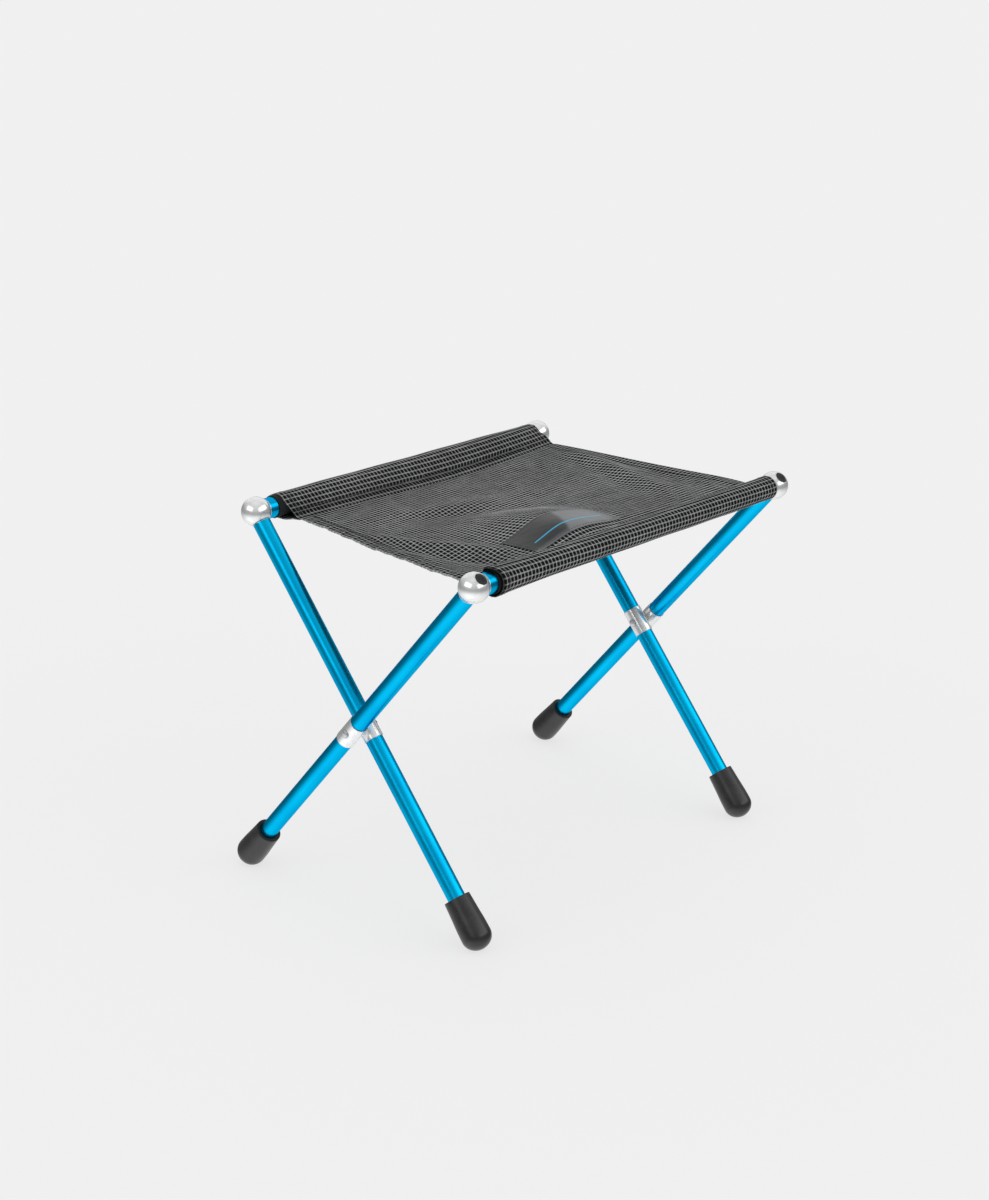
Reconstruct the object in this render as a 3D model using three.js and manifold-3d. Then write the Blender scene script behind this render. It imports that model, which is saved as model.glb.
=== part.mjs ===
// Folding camp stool: two U-shaped tube frames crossed as an X on each side and
// pinned together at two hubs, four ball corners, four rubber feet and a fabric
// seat that is slung between the two top rails.
//
// Millimetres. +Z up, floor at Z = 0, origin on the floor under the middle of the
// stool. +X runs along the rails to the right, -Y is the front. Each U-frame is built
// in its own frame: origin at the middle of its rail, +X along the rail, -Z down its legs.

import * as THREE from 'three';
import * as BufferGeometryUtils from 'three/addons/utils/BufferGeometryUtils.js';
import Module from 'manifold-3d';

const wasm = await Module();
wasm.setup();

// -------------------------------------------------------- driving dimensions

const TILT = THREE.MathUtils.degToRad(40.03); // each leg, from the vertical
const LEG_LENGTH = 321.7;      // ball centre to centre of the foot's dome
const HUB_DROP = 165.0;        // ball centre to pivot, along the leg
const FOOT_CENTRE_Z = 9.55;    // height of the dome's centre above the floor
const LEG_SPACING = 14;        // between the leg planes of the two frames
const INNER_LEG_X = 145.5;     // inner frame, which holds the back rail
const OUTER_LEG_X = INNER_LEG_X + LEG_SPACING; // outer frame, with the front rail

const RAIL_Y = HUB_DROP * Math.sin(TILT);      // back rail; the front rail is at minus this
const RAIL_Z = FOOT_CENTRE_Z + LEG_LENGTH * Math.cos(TILT);

const LEG_OR = 6.15;           // leg tube, outer and inner radius
const LEG_IR = 4.95;
const RAIL_OR = 7.2;           // rail tube, outer and inner radius
const RAIL_IR = 5.9;
const BALL_R = 10.15;
const JOIN_GAP = 0.3;          // tube end to ball
const BORE_GAP = 0.25;         // radial, round a part inside the leg tube

// Ball centre to the flat that faces each tube
const RAIL_FLAT = Math.sqrt(BALL_R ** 2 - RAIL_OR ** 2);
const LEG_FLAT = Math.sqrt(BALL_R ** 2 - LEG_OR ** 2);

const RIVET_R = 2.0;
const RIVET_HOLE_R = RIVET_R + 0.25;
const HUB_IR = LEG_OR + 0.13;  // ferrule round each leg at the pivot
const HUB_OR = HUB_IR + 0.44;

const PORT_R = 4.25;           // round port in the top of the ball
const PORT_FLOOR = 4.6;        // its floor, above the ball centre

const SEGMENTS = 24;           // facets round a turned piece, unless it sets its own
const PIVOT_SEGMENTS = 16;     // round the rivets, their holes and the washers

// Name and X direction of each side of the stool
const SIDES = [['left', -1], ['right', 1]];

// ------------------------------------------------------------------- helpers

function solid(source) {
  source.deleteAttribute('normal');
  source.deleteAttribute('uv');
  const welded = BufferGeometryUtils.mergeVertices(source, 1e-5);
  return new wasm.Manifold(new wasm.Mesh({
    numProp: 3,
    vertProperties: new Float32Array(welded.attributes.position.array),
    triVerts: new Uint32Array(welded.index.array),
  }));
}

function indexedGeometry(positions, indices) {
  const geometry = new THREE.BufferGeometry();
  geometry.setAttribute('position', new THREE.BufferAttribute(new Float32Array(positions), 3));
  geometry.setIndex(new THREE.BufferAttribute(new Uint32Array(indices), 1));
  geometry.computeVertexNormals();
  return geometry;
}

function toGeometry(manifold) {
  const mesh = manifold.getMesh();
  return indexedGeometry(mesh.vertProperties, mesh.triVerts);
}

// A turned piece from [radius, height] pairs, its axis along local Z.
function turned(points, segments = SEGMENTS) {
  const profile = points.map(([radius, z]) => new THREE.Vector2(radius, z));
  return new THREE.LatheGeometry(profile, segments).rotateX(Math.PI / 2);
}

const rod = (radius, z0, z1, segments = SEGMENTS) =>
  turned([[0, z0], [radius, z0], [radius, z1], [0, z1]], segments);

// A tube with open ends: the profile closes on itself.
const pipe = (innerR, outerR, z0, z1, segments = SEGMENTS) =>
  turned([[innerR, z0], [outerR, z0], [outerR, z1], [innerR, z1], [innerR, z0]], segments);

// Turns a piece made along Z so that it lies along X.
const alongX = (geometry) => geometry.rotateY(Math.PI / 2);

// ----------------------------------------------------------------- materials

const standard = (options) => new THREE.MeshStandardMaterial(options);

const MATERIALS = {
  tube: standard({ color: 0x0a96cf, roughness: 0.28, metalness: 0.9 }),
  bright: standard({ color: 0xd9dcde, roughness: 0.16, metalness: 1.0 }),
  steel: standard({ color: 0x9a9c9e, roughness: 0.35, metalness: 1.0 }),
  rubber: standard({ color: 0x2a2b2c, roughness: 0.6, metalness: 0.0 }),
  plastic: standard({ color: 0x1c1d1e, roughness: 0.5, metalness: 0.0 }),
  nylon: standard({ color: 0xd8d6cf, roughness: 0.5, metalness: 0.0 }),
  cord: standard({ color: 0x303234, roughness: 0.9, metalness: 0.0 }),
  fabric: standard({ color: 0x3a3c3d, roughness: 0.85, metalness: 0.0 }),
  label: standard({ color: 0x2c2e30, roughness: 0.7, metalness: 0.0 }),
};

function piece(name, geometry, material) {
  const mesh = new THREE.Mesh(geometry, MATERIALS[material]);
  mesh.name = name;
  return mesh;
}

// ------------------------------------------------------------------- corners

const LEG_SPIGOT_R = LEG_IR - BORE_GAP;
const RAIL_SPIGOT_R = RAIL_IR - 0.3;
const SPIGOT_LENGTH = 14;      // from the ball's flat
const SPIGOT_SEGMENTS = 20;
const CORD_BORE_R = 1.6;       // through the ball along the leg
const CORD_BORE_SEGMENTS = 12;

// Ball with a flat and a spigot for each tube, drilled along the leg, with a round
// port in its top. `railSide` is +1 where the rail runs towards +X.
function cornerBall(railSide) {
  const clear = 30;            // the cutting boxes reach well outside the ball
  const cutBox = (x0, x1, z0, z1) => solid(new THREE.BoxGeometry(x1 - x0, 40, z1 - z0)
    .translate((x0 + x1) / 2, 0, (z0 + z1) / 2));
  const railCut = railSide > 0
    ? cutBox(RAIL_FLAT, clear, -clear, clear)
    : cutBox(-clear, -RAIL_FLAT, -clear, clear);
  const legCut = cutBox(-clear, clear, -clear, -LEG_FLAT);

  const railSpigot = alongX(rod(RAIL_SPIGOT_R, 0, RAIL_FLAT + SPIGOT_LENGTH, SPIGOT_SEGMENTS));
  if (railSide < 0) railSpigot.rotateZ(Math.PI);
  const legSpigot = rod(LEG_SPIGOT_R, -LEG_FLAT - SPIGOT_LENGTH, 0, SPIGOT_SEGMENTS);

  const ball = solid(new THREE.SphereGeometry(BALL_R, 24, 12).rotateX(Math.PI / 2))
    .subtract(railCut)
    .subtract(legCut)
    .add(solid(railSpigot))
    .add(solid(legSpigot))
    .subtract(solid(rod(CORD_BORE_R, -40, 20, CORD_BORE_SEGMENTS)))
    .subtract(solid(rod(PORT_R, PORT_FLOOR, 20)));
  return toGeometry(ball);
}

const PLUG_R = PORT_R - 0.25;
const PLUG_BOTTOM = PORT_FLOOR + 0.3;
const PLUG_TOP = 8.95;         // edge of its domed top, above the ball centre
const PLUG_CROWN = 0.25;       // rise of the dome
const PLUG_CHAMFER = 0.45;
const PLUG_CUP_R = 2.75;       // hollow that takes the cord's knot
const PLUG_CUP_TOP = PLUG_TOP - 1.0;

// Cap that closes the port and covers the cord's knot: a cup, open below.
const portPlug = () => turned([
  [0, PLUG_CUP_TOP], [PLUG_CUP_R, PLUG_CUP_TOP],
  [PLUG_CUP_R, PLUG_BOTTOM], [PLUG_R, PLUG_BOTTOM],
  [PLUG_R, PLUG_TOP - PLUG_CHAMFER], [PLUG_R - PLUG_CHAMFER, PLUG_TOP],
  [0, PLUG_TOP + PLUG_CROWN],
]);

// ---------------------------------------------------------------------- cord

const ANCHOR_TOP = -118;       // from the ball centre
const ANCHOR_BOTTOM = ANCHOR_TOP - 7;
const CORD_R = 1.2;
const CORD_SEGMENTS = 10;
const KNOT_R = 2.2;
const KNOT_GAP = 0.35;         // knot to the face it sits against

// Knot profiles, bottom to top: [fraction of the knot's radius, height from its seat]
const LOWER_KNOT = [[0, -4.2], [0.7, -4.0], [1, -3.2], [1, -0.9], [0.8, 0]];
const UPPER_KNOT = [[0.8, 0], [1, 0.8], [1, 1.7], [0.6, 2.6], [0, 2.7]];

// Elastic cord inside the leg, knotted at both ends.
function shockCord() {
  const top = PORT_FLOOR + KNOT_GAP;
  const bottom = ANCHOR_BOTTOM - KNOT_GAP;
  const knot = (profile, seat) =>
    profile.map(([fraction, height]) => [KNOT_R * fraction, seat + height]);
  return turned([
    ...knot(LOWER_KNOT, bottom),
    [CORD_R, bottom], [CORD_R, top],
    ...knot(UPPER_KNOT, top),
  ], CORD_SEGMENTS);
}

// Bush in the leg's bore that the lower knot pulls against.
const cordAnchor = () => pipe(CORD_R + 0.3, LEG_IR - BORE_GAP, ANCHOR_BOTTOM, ANCHOR_TOP);

// ------------------------------------------------------------ tubes and hubs

const LEG_END = 320.0;         // lower end of the leg tube, below the ball centre
const HUB_LENGTH = 20;         // ferrule, centred on the pivot

// Cutter for the rivet's hole, right through the leg.
const rivetHole = () => solid(
  alongX(rod(RIVET_HOLE_R, -20, 20, PIVOT_SEGMENTS)).translate(0, 0, -HUB_DROP));

const drilledPipe = (innerR, outerR, z0, z1) =>
  toGeometry(solid(pipe(innerR, outerR, z0, z1)).subtract(rivetHole()));

const legTube = () => drilledPipe(LEG_IR, LEG_OR, -LEG_END, -LEG_FLAT - JOIN_GAP);

const hubFerrule = () => drilledPipe(
  HUB_IR, HUB_OR, -HUB_DROP - HUB_LENGTH / 2, -HUB_DROP + HUB_LENGTH / 2);

function railTube(legX) {
  const half = legX - RAIL_FLAT - JOIN_GAP;
  return alongX(pipe(RAIL_IR, RAIL_OR, -half, half));
}

const RIVET_HEAD_R = 2.7;
const RIVET_HEAD_H = 0.9;
const RIVET_GAP = 0.2;         // head to ferrule

// Rivet head from crown to rim: [radius, fraction of the head's height]
const RIVET_HEAD = [[0, 1], [1.5, 0.86], [RIVET_HEAD_R - 0.25, 0.4], [RIVET_HEAD_R, 0]];

// Rivet from the inner leg's inside to the outer leg's outside, along local X.
// `side` is -1 on the -X side of the stool.
function pivotRivet(side) {
  const start = INNER_LEG_X - HUB_OR - RIVET_GAP;
  const end = OUTER_LEG_X + HUB_OR + RIVET_GAP;
  const head = (seat, direction) => RIVET_HEAD.map(
    ([radius, fraction]) => [radius, seat + direction * RIVET_HEAD_H * fraction]);
  const rivet = alongX(turned([
    ...head(start, -1),
    [RIVET_R, start], [RIVET_R, end],
    ...head(end, 1).reverse(),
  ], PIVOT_SEGMENTS));
  if (side < 0) rivet.rotateZ(Math.PI);
  return rivet;
}

const WASHER_R = 4.6;
const WASHER_T = 0.34;

const hubWasher = () => alongX(
  pipe(RIVET_HOLE_R, WASHER_R, -WASHER_T / 2, WASHER_T / 2, PIVOT_SEGMENTS));

// ---------------------------------------------------------------------- feet

const FOOT_MOUTH_Z = -293.9;   // open upper end, from the ball centre
const FOOT_MOUTH_R = 9.15;
const FOOT_MAX_R = 10.4;
const FOOT_DOME_H = 9.6;
const FOOT_DOME_STEPS = 6;
const FOOT_BORE_R = LEG_OR + 0.15;
const FOOT_BORE_END = -(LEG_END + 0.4);
const FOOT_RIM = 1.1;          // rounding of the mouth's outer edge
const FOOT_RIM_BEVEL = 0.32;   // inset of the rounding's middle point
const FOOT_LEAD_IN = 0.5;      // chamfer at the top of the bore

// Flared cap with a domed end, cut flat where it stands on the floor.
// `tilt` is the turn about X of the frame it belongs to.
function footCap(tilt) {
  const centre = -LEG_LENGTH;
  const outline = [];
  for (let i = 0; i <= FOOT_DOME_STEPS; i++) {
    const angle = (Math.PI / 2) * (i / FOOT_DOME_STEPS);
    outline.push([FOOT_MAX_R * Math.sin(angle), centre - FOOT_DOME_H * Math.cos(angle)]);
  }
  outline.push(
    // tapering side
    [FOOT_MAX_R - 0.18, centre + 8],
    [FOOT_MAX_R - 0.62, centre + 15],
    [FOOT_MOUTH_R + 0.18, FOOT_MOUTH_Z - 4],
    // rim
    [FOOT_MOUTH_R, FOOT_MOUTH_Z - FOOT_RIM],
    [FOOT_MOUTH_R - FOOT_RIM_BEVEL, FOOT_MOUTH_Z - FOOT_RIM_BEVEL],
    [FOOT_MOUTH_R - FOOT_RIM, FOOT_MOUTH_Z],
    // bore
    [FOOT_BORE_R + FOOT_LEAD_IN, FOOT_MOUTH_Z],
    [FOOT_BORE_R, FOOT_MOUTH_Z - FOOT_LEAD_IN],
    [FOOT_BORE_R, FOOT_BORE_END],
    [0, FOOT_BORE_END],
  );
  // Everything below the floor, turned into the leg's own axes about the dome's centre
  const floorDepth = 40;
  const floor = new THREE.BoxGeometry(80, 80, floorDepth)
    .translate(0, 0, -FOOT_CENTRE_Z - floorDepth / 2)
    .rotateX(-tilt)
    .translate(0, 0, centre);
  return toGeometry(solid(turned(outline)).subtract(solid(floor)));
}

// ------------------------------------------------------------------- sleeves

const SLEEVE_IR = RAIL_OR + 0.4; // fabric sleeve round a rail
const SLEEVE_WALL = 1.1;
const SLEEVE_ARC_STEPS = 20;
const SEAM_Y = 13.5;           // stitched seam: inward of the rail axis
const SEAM_Z = -7.5;           // and below it
const SEAM_T = 1.6;            // thickness of the stitched layers
const CHANNEL_TIP_HALF = 0.05; // half the thickness of the hollow at its pointed end
const CHANNEL_SETBACK = 3.2;   // from that end to the seam's edge
const BACK_SLEEVE_X = [-136.5, 136.5];
const FRONT_SLEEVE_X = [-139.5, 149.5];

// A loop round the rail that tapers towards the seam, as (inward, up) from the rail axis.
// `setback` is how far its tip stops short of the seam's edge.
function sleeveOutline(radius, tipHalf, setback) {
  const seamAngle = Math.atan2(SEAM_Z, SEAM_Y);
  const tip = Math.hypot(SEAM_Y, SEAM_Z) - setback;
  // where the straight sides leave the loop, either side of the seam's direction
  const opening = Math.acos((radius - tipHalf) / tip);
  const points = [];
  for (let i = 0; i <= SLEEVE_ARC_STEPS; i++) {
    const angle = seamAngle + opening + (2 * Math.PI - 2 * opening) * (i / SLEEVE_ARC_STEPS);
    points.push(new THREE.Vector2(radius * Math.cos(angle), radius * Math.sin(angle)));
  }
  const alongSeam = new THREE.Vector2(Math.cos(seamAngle), Math.sin(seamAngle));
  const acrossSeam = new THREE.Vector2(-alongSeam.y, alongSeam.x);
  for (const offset of [-tipHalf, tipHalf]) {
    points.push(alongSeam.clone().multiplyScalar(tip).addScaledVector(acrossSeam, offset));
  }
  return points;
}

// `inward` is the Y direction from the rail to the middle of the stool.
function railSleeve([x0, x1], inward) {
  const shape = new THREE.Shape(sleeveOutline(SLEEVE_IR + SLEEVE_WALL, SEAM_T / 2, 0));
  shape.holes.push(new THREE.Path(sleeveOutline(SLEEVE_IR, CHANNEL_TIP_HALF, CHANNEL_SETBACK)));
  const sleeve = new THREE.ExtrudeGeometry(shape, {
    depth: x1 - x0, steps: 1, bevelEnabled: false, curveSegments: 1,
  });
  // Shape (inward, up, along): along becomes +-X, inward becomes +-Y, up becomes Z.
  // X and Y flip together, so that the faces still point outwards.
  sleeve.applyMatrix4(new THREE.Matrix4().set(
    0, 0, inward, inward > 0 ? x0 : x1,
    inward, 0, 0, 0,
    0, 1, 0, 0,
    0, 0, 0, 1,
  ));
  return toGeometry(solid(sleeve));
}

// ------------------------------------------------------------ panel and label

// Places on the panel are two fractions: `across` runs from its left edge (0) to its
// right edge (1), and `forward` from its back edge (0) to its front edge (1).

const PANEL_T = 1.2;
const PANEL_SIDE_RISE = 1.2;   // middle of each side edge, above the seams
const PANEL_SAG = 3.5;         // middle of the panel, below the middles of its sides
const PANEL_SIDE_CURVE = 4.5;  // inward bow of each side edge
const PANEL_GAP = 0.8;         // panel edge to seam
const PANEL_BACK_Y = RAIL_Y - SEAM_Y - PANEL_GAP; // the front edge is at minus this

const LABEL_T = 0.35;
const LABEL_GAP = 0.15;        // panel to label
const LABEL_ACROSS = [0.252, 0.556];
const LABEL_FORWARD = [0.74, 0.93];

const { lerp } = THREE.MathUtils;

// 0 at both ends of the 0 to 1 range and 1 in its middle
const bow = (fraction) => 4 * fraction * (1 - fraction);

// A point on the panel's middle surface.
function panelPoint(across, forward) {
  const left = lerp(BACK_SLEEVE_X[0], FRONT_SLEEVE_X[0], forward);
  const right = lerp(BACK_SLEEVE_X[1], FRONT_SLEEVE_X[1], forward);
  const inset = PANEL_SIDE_CURVE * bow(forward);
  return [
    lerp(left + inset, right - inset, across),
    PANEL_BACK_Y * (1 - 2 * forward),
    RAIL_Z + SEAM_Z + bow(forward) * (PANEL_SIDE_RISE - PANEL_SAG * bow(across)),
  ];
}

// A closed sheet over part of the panel, its middle surface raised by `lift`.
function sheet({ columns, rows, across, forward, lift, thickness }) {
  const positions = [];
  for (const offset of [thickness / 2, -thickness / 2]) {
    for (let j = 0; j <= rows; j++) {
      for (let i = 0; i <= columns; i++) {
        const [x, y, z] = panelPoint(
          lerp(...across, i / columns), lerp(...forward, j / rows));
        positions.push(x, y, z + lift + offset);
      }
    }
  }

  const stride = columns + 1;
  const under = stride * (rows + 1);   // from a top vertex to the one below it
  const indices = [];
  const quad = (a, b, c, d) => indices.push(a, b, c, a, c, d);
  const wall = (from, to) => quad(from, to, under + to, under + from);
  for (let j = 0; j < rows; j++) {
    for (let i = 0; i < columns; i++) {
      const backLeft = j * stride + i;
      const backRight = backLeft + 1;
      const frontRight = backRight + stride;
      const frontLeft = backLeft + stride;
      quad(backLeft, frontLeft, frontRight, backRight);
      quad(under + backLeft, under + backRight, under + frontRight, under + frontLeft);
    }
  }
  for (let i = 0; i < columns; i++) {
    const front = rows * stride + i;
    wall(i, i + 1);
    wall(front + 1, front);
  }
  for (let j = 0; j < rows; j++) {
    const left = j * stride;
    const right = left + columns;
    wall(left + stride, left);
    wall(right, right + stride);
  }
  return indexedGeometry(positions, indices);
}

const seatPanel = () => sheet({
  columns: 12, rows: 10, across: [0, 1], forward: [0, 1], lift: 0, thickness: PANEL_T,
});

// Plain patch on top of the panel.
const seatLabel = () => sheet({
  columns: 4,
  rows: 2,
  across: LABEL_ACROSS,
  forward: LABEL_FORWARD,
  lift: PANEL_T / 2 + LABEL_T / 2 + LABEL_GAP,
  thickness: LABEL_T,
});

// ------------------------------------------------------------------ assembly

const stool = new THREE.Group();
stool.name = 'camp_stool';

// One U-frame: rail, two corners and two legs. `place` is where its rail is; its legs
// run down to the feet on the opposite side. `inward` is as for the sleeve.
function addFrame({ place, legX, inward }) {
  const tilt = inward * TILT;
  const frame = new THREE.Group();
  frame.position.set(0, -inward * RAIL_Y, RAIL_Z);
  frame.rotation.x = tilt;
  frame.add(piece(`${place}_rail`, railTube(legX), 'tube'));
  for (const [hand, side] of SIDES) {
    const tag = `${place}_${hand}`;
    const corner = new THREE.Group();
    corner.position.x = side * legX;
    corner.add(
      piece(`corner_ball_${tag}`, cornerBall(-side), 'bright'),
      piece(`port_plug_${tag}`, portPlug(), 'plastic'),
      piece(`shock_cord_${tag}`, shockCord(), 'cord'),
      piece(`cord_anchor_${tag}`, cordAnchor(), 'nylon'),
      piece(`leg_tube_${tag}`, legTube(), 'tube'),
      piece(`hub_ferrule_${tag}`, hubFerrule(), 'bright'),
      piece(`foot_cap_${tag}`, footCap(tilt), 'rubber'),
    );
    frame.add(corner);
  }
  stool.add(frame);
  return frame;
}

function addSleeve({ place, range, inward }) {
  const sleeve = piece(`${place}_rail_sleeve`, railSleeve(range, inward), 'fabric');
  sleeve.position.set(0, -inward * RAIL_Y, RAIL_Z);
  stool.add(sleeve);
}

const innerFrame = addFrame({ place: 'back', legX: INNER_LEG_X, inward: -1 });
addFrame({ place: 'front', legX: OUTER_LEG_X, inward: 1 });

for (const [hand, side] of SIDES) {
  const rivet = piece(`pivot_rivet_${hand}`, pivotRivet(side), 'steel');
  rivet.position.z = -HUB_DROP;
  const washer = piece(`hub_washer_${hand}`, hubWasher(), 'nylon');
  washer.position.set(side * (INNER_LEG_X + OUTER_LEG_X) / 2, 0, -HUB_DROP);
  innerFrame.add(rivet, washer);
}

addSleeve({ place: 'back', range: BACK_SLEEVE_X, inward: -1 });
addSleeve({ place: 'front', range: FRONT_SLEEVE_X, inward: 1 });

stool.add(piece('seat_panel', seatPanel(), 'fabric'));
stool.add(piece('seat_label', seatLabel(), 'label'));

export default stool;
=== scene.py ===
"""Folding camp stool: two crossed tube frames with a ripstop seat slung between their rails.

X runs along the rails (left is -X), Y from front (-Y) to back (+Y), Z up from the floor. The
inner frame carries the back rail and the outer frame the front rail; rivets join them halfway
down the legs. Everything is drawn in millimetres and turned into metres as each mesh is made.
"""

import contextlib
import math

import bmesh
import bpy
import numpy as np
from mathutils import Matrix, Vector


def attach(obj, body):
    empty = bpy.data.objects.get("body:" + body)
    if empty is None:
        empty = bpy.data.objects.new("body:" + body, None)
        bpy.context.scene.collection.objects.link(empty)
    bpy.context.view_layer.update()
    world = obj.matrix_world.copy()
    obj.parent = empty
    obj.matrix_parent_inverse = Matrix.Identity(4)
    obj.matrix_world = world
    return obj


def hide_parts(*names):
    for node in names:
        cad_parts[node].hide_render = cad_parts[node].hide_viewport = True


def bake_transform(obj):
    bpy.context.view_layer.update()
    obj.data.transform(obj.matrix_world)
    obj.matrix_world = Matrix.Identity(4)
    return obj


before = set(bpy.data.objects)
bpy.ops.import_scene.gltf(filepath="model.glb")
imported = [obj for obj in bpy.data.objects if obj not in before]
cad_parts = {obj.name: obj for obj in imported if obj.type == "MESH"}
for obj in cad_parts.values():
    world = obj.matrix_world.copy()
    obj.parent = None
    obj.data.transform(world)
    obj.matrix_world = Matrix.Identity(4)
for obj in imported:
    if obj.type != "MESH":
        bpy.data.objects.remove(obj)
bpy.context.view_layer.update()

# ------------------------------------------------------------------ frame dimensions (mm)
# _R is a radius, _OR and _IR outer and inner radii, _H a height.

TILT = math.radians(40.03)
LEG_LENGTH = 321.7            # ball centre to foot centre
HUB_DROP = 165.0              # ball centre to rivet, down the leg
FOOT_CENTRE_Z = 9.55
INNER_LEG_X, OUTER_LEG_X = 145.5, 159.5
LEG_OR, LEG_IR = 6.15, 4.95
RAIL_OR, RAIL_IR = 7.2, 5.9
BALL_R = 10.15
JOIN_GAP = 0.3                # between a ball's flat and the tube's end
LEG_SPIGOT_R, RAIL_SPIGOT_R, SPIGOT_LENGTH = 4.7, 5.6, 14.0
CORD_BORE_R, PORT_R, PORT_FLOOR = 1.6, 4.25, 4.6
PLUG_R, PLUG_TOP = 4.0, 8.95
HUB_LENGTH, HUB_IR, HUB_OR = 20.0, 6.28, 6.72
RIVET_R, RIVET_HOLE_R, RIVET_HEAD_R, RIVET_HEAD_H = 2.0, 2.25, 2.7, 0.9
FOOT_MOUTH, FOOT_MOUTH_R, FOOT_MAX_R = 293.9, 9.15, 10.4
FOOT_DOME_H, FOOT_BORE_R = 9.6, 6.3
LEG_END, FOOT_FLOOR = 320.0, 320.4   # tube end and bore floor, down from the ball centre

RAIL_Y = HUB_DROP * math.sin(TILT)
HUB_Z = FOOT_CENTRE_Z + (LEG_LENGTH - HUB_DROP) * math.cos(TILT)
RAIL_Z = HUB_Z + HUB_DROP * math.cos(TILT)
RAIL_FLAT = math.sqrt(BALL_R**2 - RAIL_OR**2)
LEG_FLAT = math.sqrt(BALL_R**2 - LEG_OR**2)

CORNERS = {
    # tag: (leg x, tilt, rail y, body, direction in which its rail runs)
    "back_left": (-INNER_LEG_X, -TILT, RAIL_Y, "inner_frame", 1),
    "back_right": (INNER_LEG_X, -TILT, RAIL_Y, "inner_frame", -1),
    "front_left": (-OUTER_LEG_X, TILT, -RAIL_Y, "outer_frame", 1),
    "front_right": (OUTER_LEG_X, TILT, -RAIL_Y, "outer_frame", -1),
}

# ------------------------------------------------------------------ curves and profiles


def smoothstep(start, end, x):
    t = np.clip((np.asarray(x, float) - start) / (end - start), 0, 1)
    return t * t * (3 - 2 * t)


def bell(x, width):
    return np.exp(-((x / width) ** 2))


def lerp(start, end, share):
    return start * (1 - share) + end * share


def fillet(points, radii, steps=5):
    """Rounds the corners of a polyline of (radius, z) points. A fillet of 0 keeps a corner."""
    out = []
    for i, (point, size) in enumerate(zip(points, radii)):
        if size == 0:
            out.append(tuple(point))
            continue
        point = np.array(point, float)
        back = np.array(points[i - 1], float) - point
        ahead = np.array(points[i + 1], float) - point
        back_length, ahead_length = np.linalg.norm(back), np.linalg.norm(ahead)
        back, ahead = back / back_length, ahead / ahead_length
        angle = math.acos(float(back @ ahead))
        trim = min(size / math.tan(angle / 2), back_length * 0.49, ahead_length * 0.49)
        size = trim * math.tan(angle / 2)
        bisector = (back + ahead) / np.linalg.norm(back + ahead)
        centre = point + bisector * (size / math.sin(angle / 2))
        start, end = point + back * trim - centre, point + ahead * trim - centre
        sweep = math.acos(float(start @ end) / size**2)
        for k in range(steps + 1):
            share = k / steps
            spoke = math.sin((1 - share) * sweep) * start + math.sin(share * sweep) * end
            out.append(tuple(centre + spoke / math.sin(sweep)))
    return out


def split_long(points, longest):
    """Adds points so that no segment of a polyline is longer than `longest`."""
    out = [tuple(points[0])]
    for start, end in zip(points, points[1:]):
        start, end = np.array(start, float), np.array(end, float)
        count = max(1, int(math.ceil(np.linalg.norm(end - start) / longest)))
        out += [tuple(start + (end - start) * k / count) for k in range(1, count + 1)]
    return out


def arc_lengths(points):
    return np.concatenate([[0], np.cumsum(np.linalg.norm(np.diff(points, axis=0), axis=1))])


def spline(knots, values):
    """Natural cubic spline through a few points, as a function."""
    knots, values = np.asarray(knots, float), np.asarray(values, float)
    if knots[0] > knots[-1]:
        knots, values = knots[::-1], values[::-1]
    count = len(knots)
    gaps = np.diff(knots)
    system = np.zeros((count, count))
    rhs = np.zeros(count)
    system[0, 0] = system[-1, -1] = 1
    for i in range(1, count - 1):
        system[i, i - 1 : i + 2] = gaps[i - 1], 2 * (gaps[i - 1] + gaps[i]), gaps[i]
        rhs[i] = 6 * ((values[i + 1] - values[i]) / gaps[i]
                      - (values[i] - values[i - 1]) / gaps[i - 1])
    bend = np.linalg.solve(system, rhs)

    def at(x):
        x = np.asarray(x, float)
        i = np.clip(np.searchsorted(knots, x) - 1, 0, count - 2)
        ahead, behind, gap = knots[i + 1] - x, x - knots[i], gaps[i]
        return (
            (bend[i] * ahead**3 + bend[i + 1] * behind**3) / (6 * gap)
            + (values[i] / gap - bend[i] * gap / 6) * ahead
            + (values[i + 1] / gap - bend[i + 1] * gap / 6) * behind
        )

    return at


# ------------------------------------------------------------------ mesh helpers


def skin(rings):
    """Faces between successive rings of vertex numbers. A ring of one is a pole."""
    faces = []
    for low, high in zip(rings, rings[1:]):
        count = max(len(low), len(high))
        for k in range(count):
            after = (k + 1) % count
            if len(low) == 1:
                faces.append((low[0], high[after], high[k]))
            elif len(high) == 1:
                faces.append((low[k], low[after], high[0]))
            else:
                faces.append((low[k], low[after], high[after], high[k]))
    return faces


def link_object(name, mesh):
    obj = bpy.data.objects.new(name, mesh)
    bpy.context.scene.collection.objects.link(obj)
    return obj


def new_object(name, verts, faces, smooth=True):
    """A mesh object from millimetre vertices."""
    mesh = bpy.data.meshes.new(name)
    mesh.from_pydata((np.array(verts, float) * 0.001).tolist(), [], faces)
    mesh.update()
    if smooth:
        mesh.polygons.foreach_set("use_smooth", np.ones(len(mesh.polygons), bool))
    return link_object(name, mesh)


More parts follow.
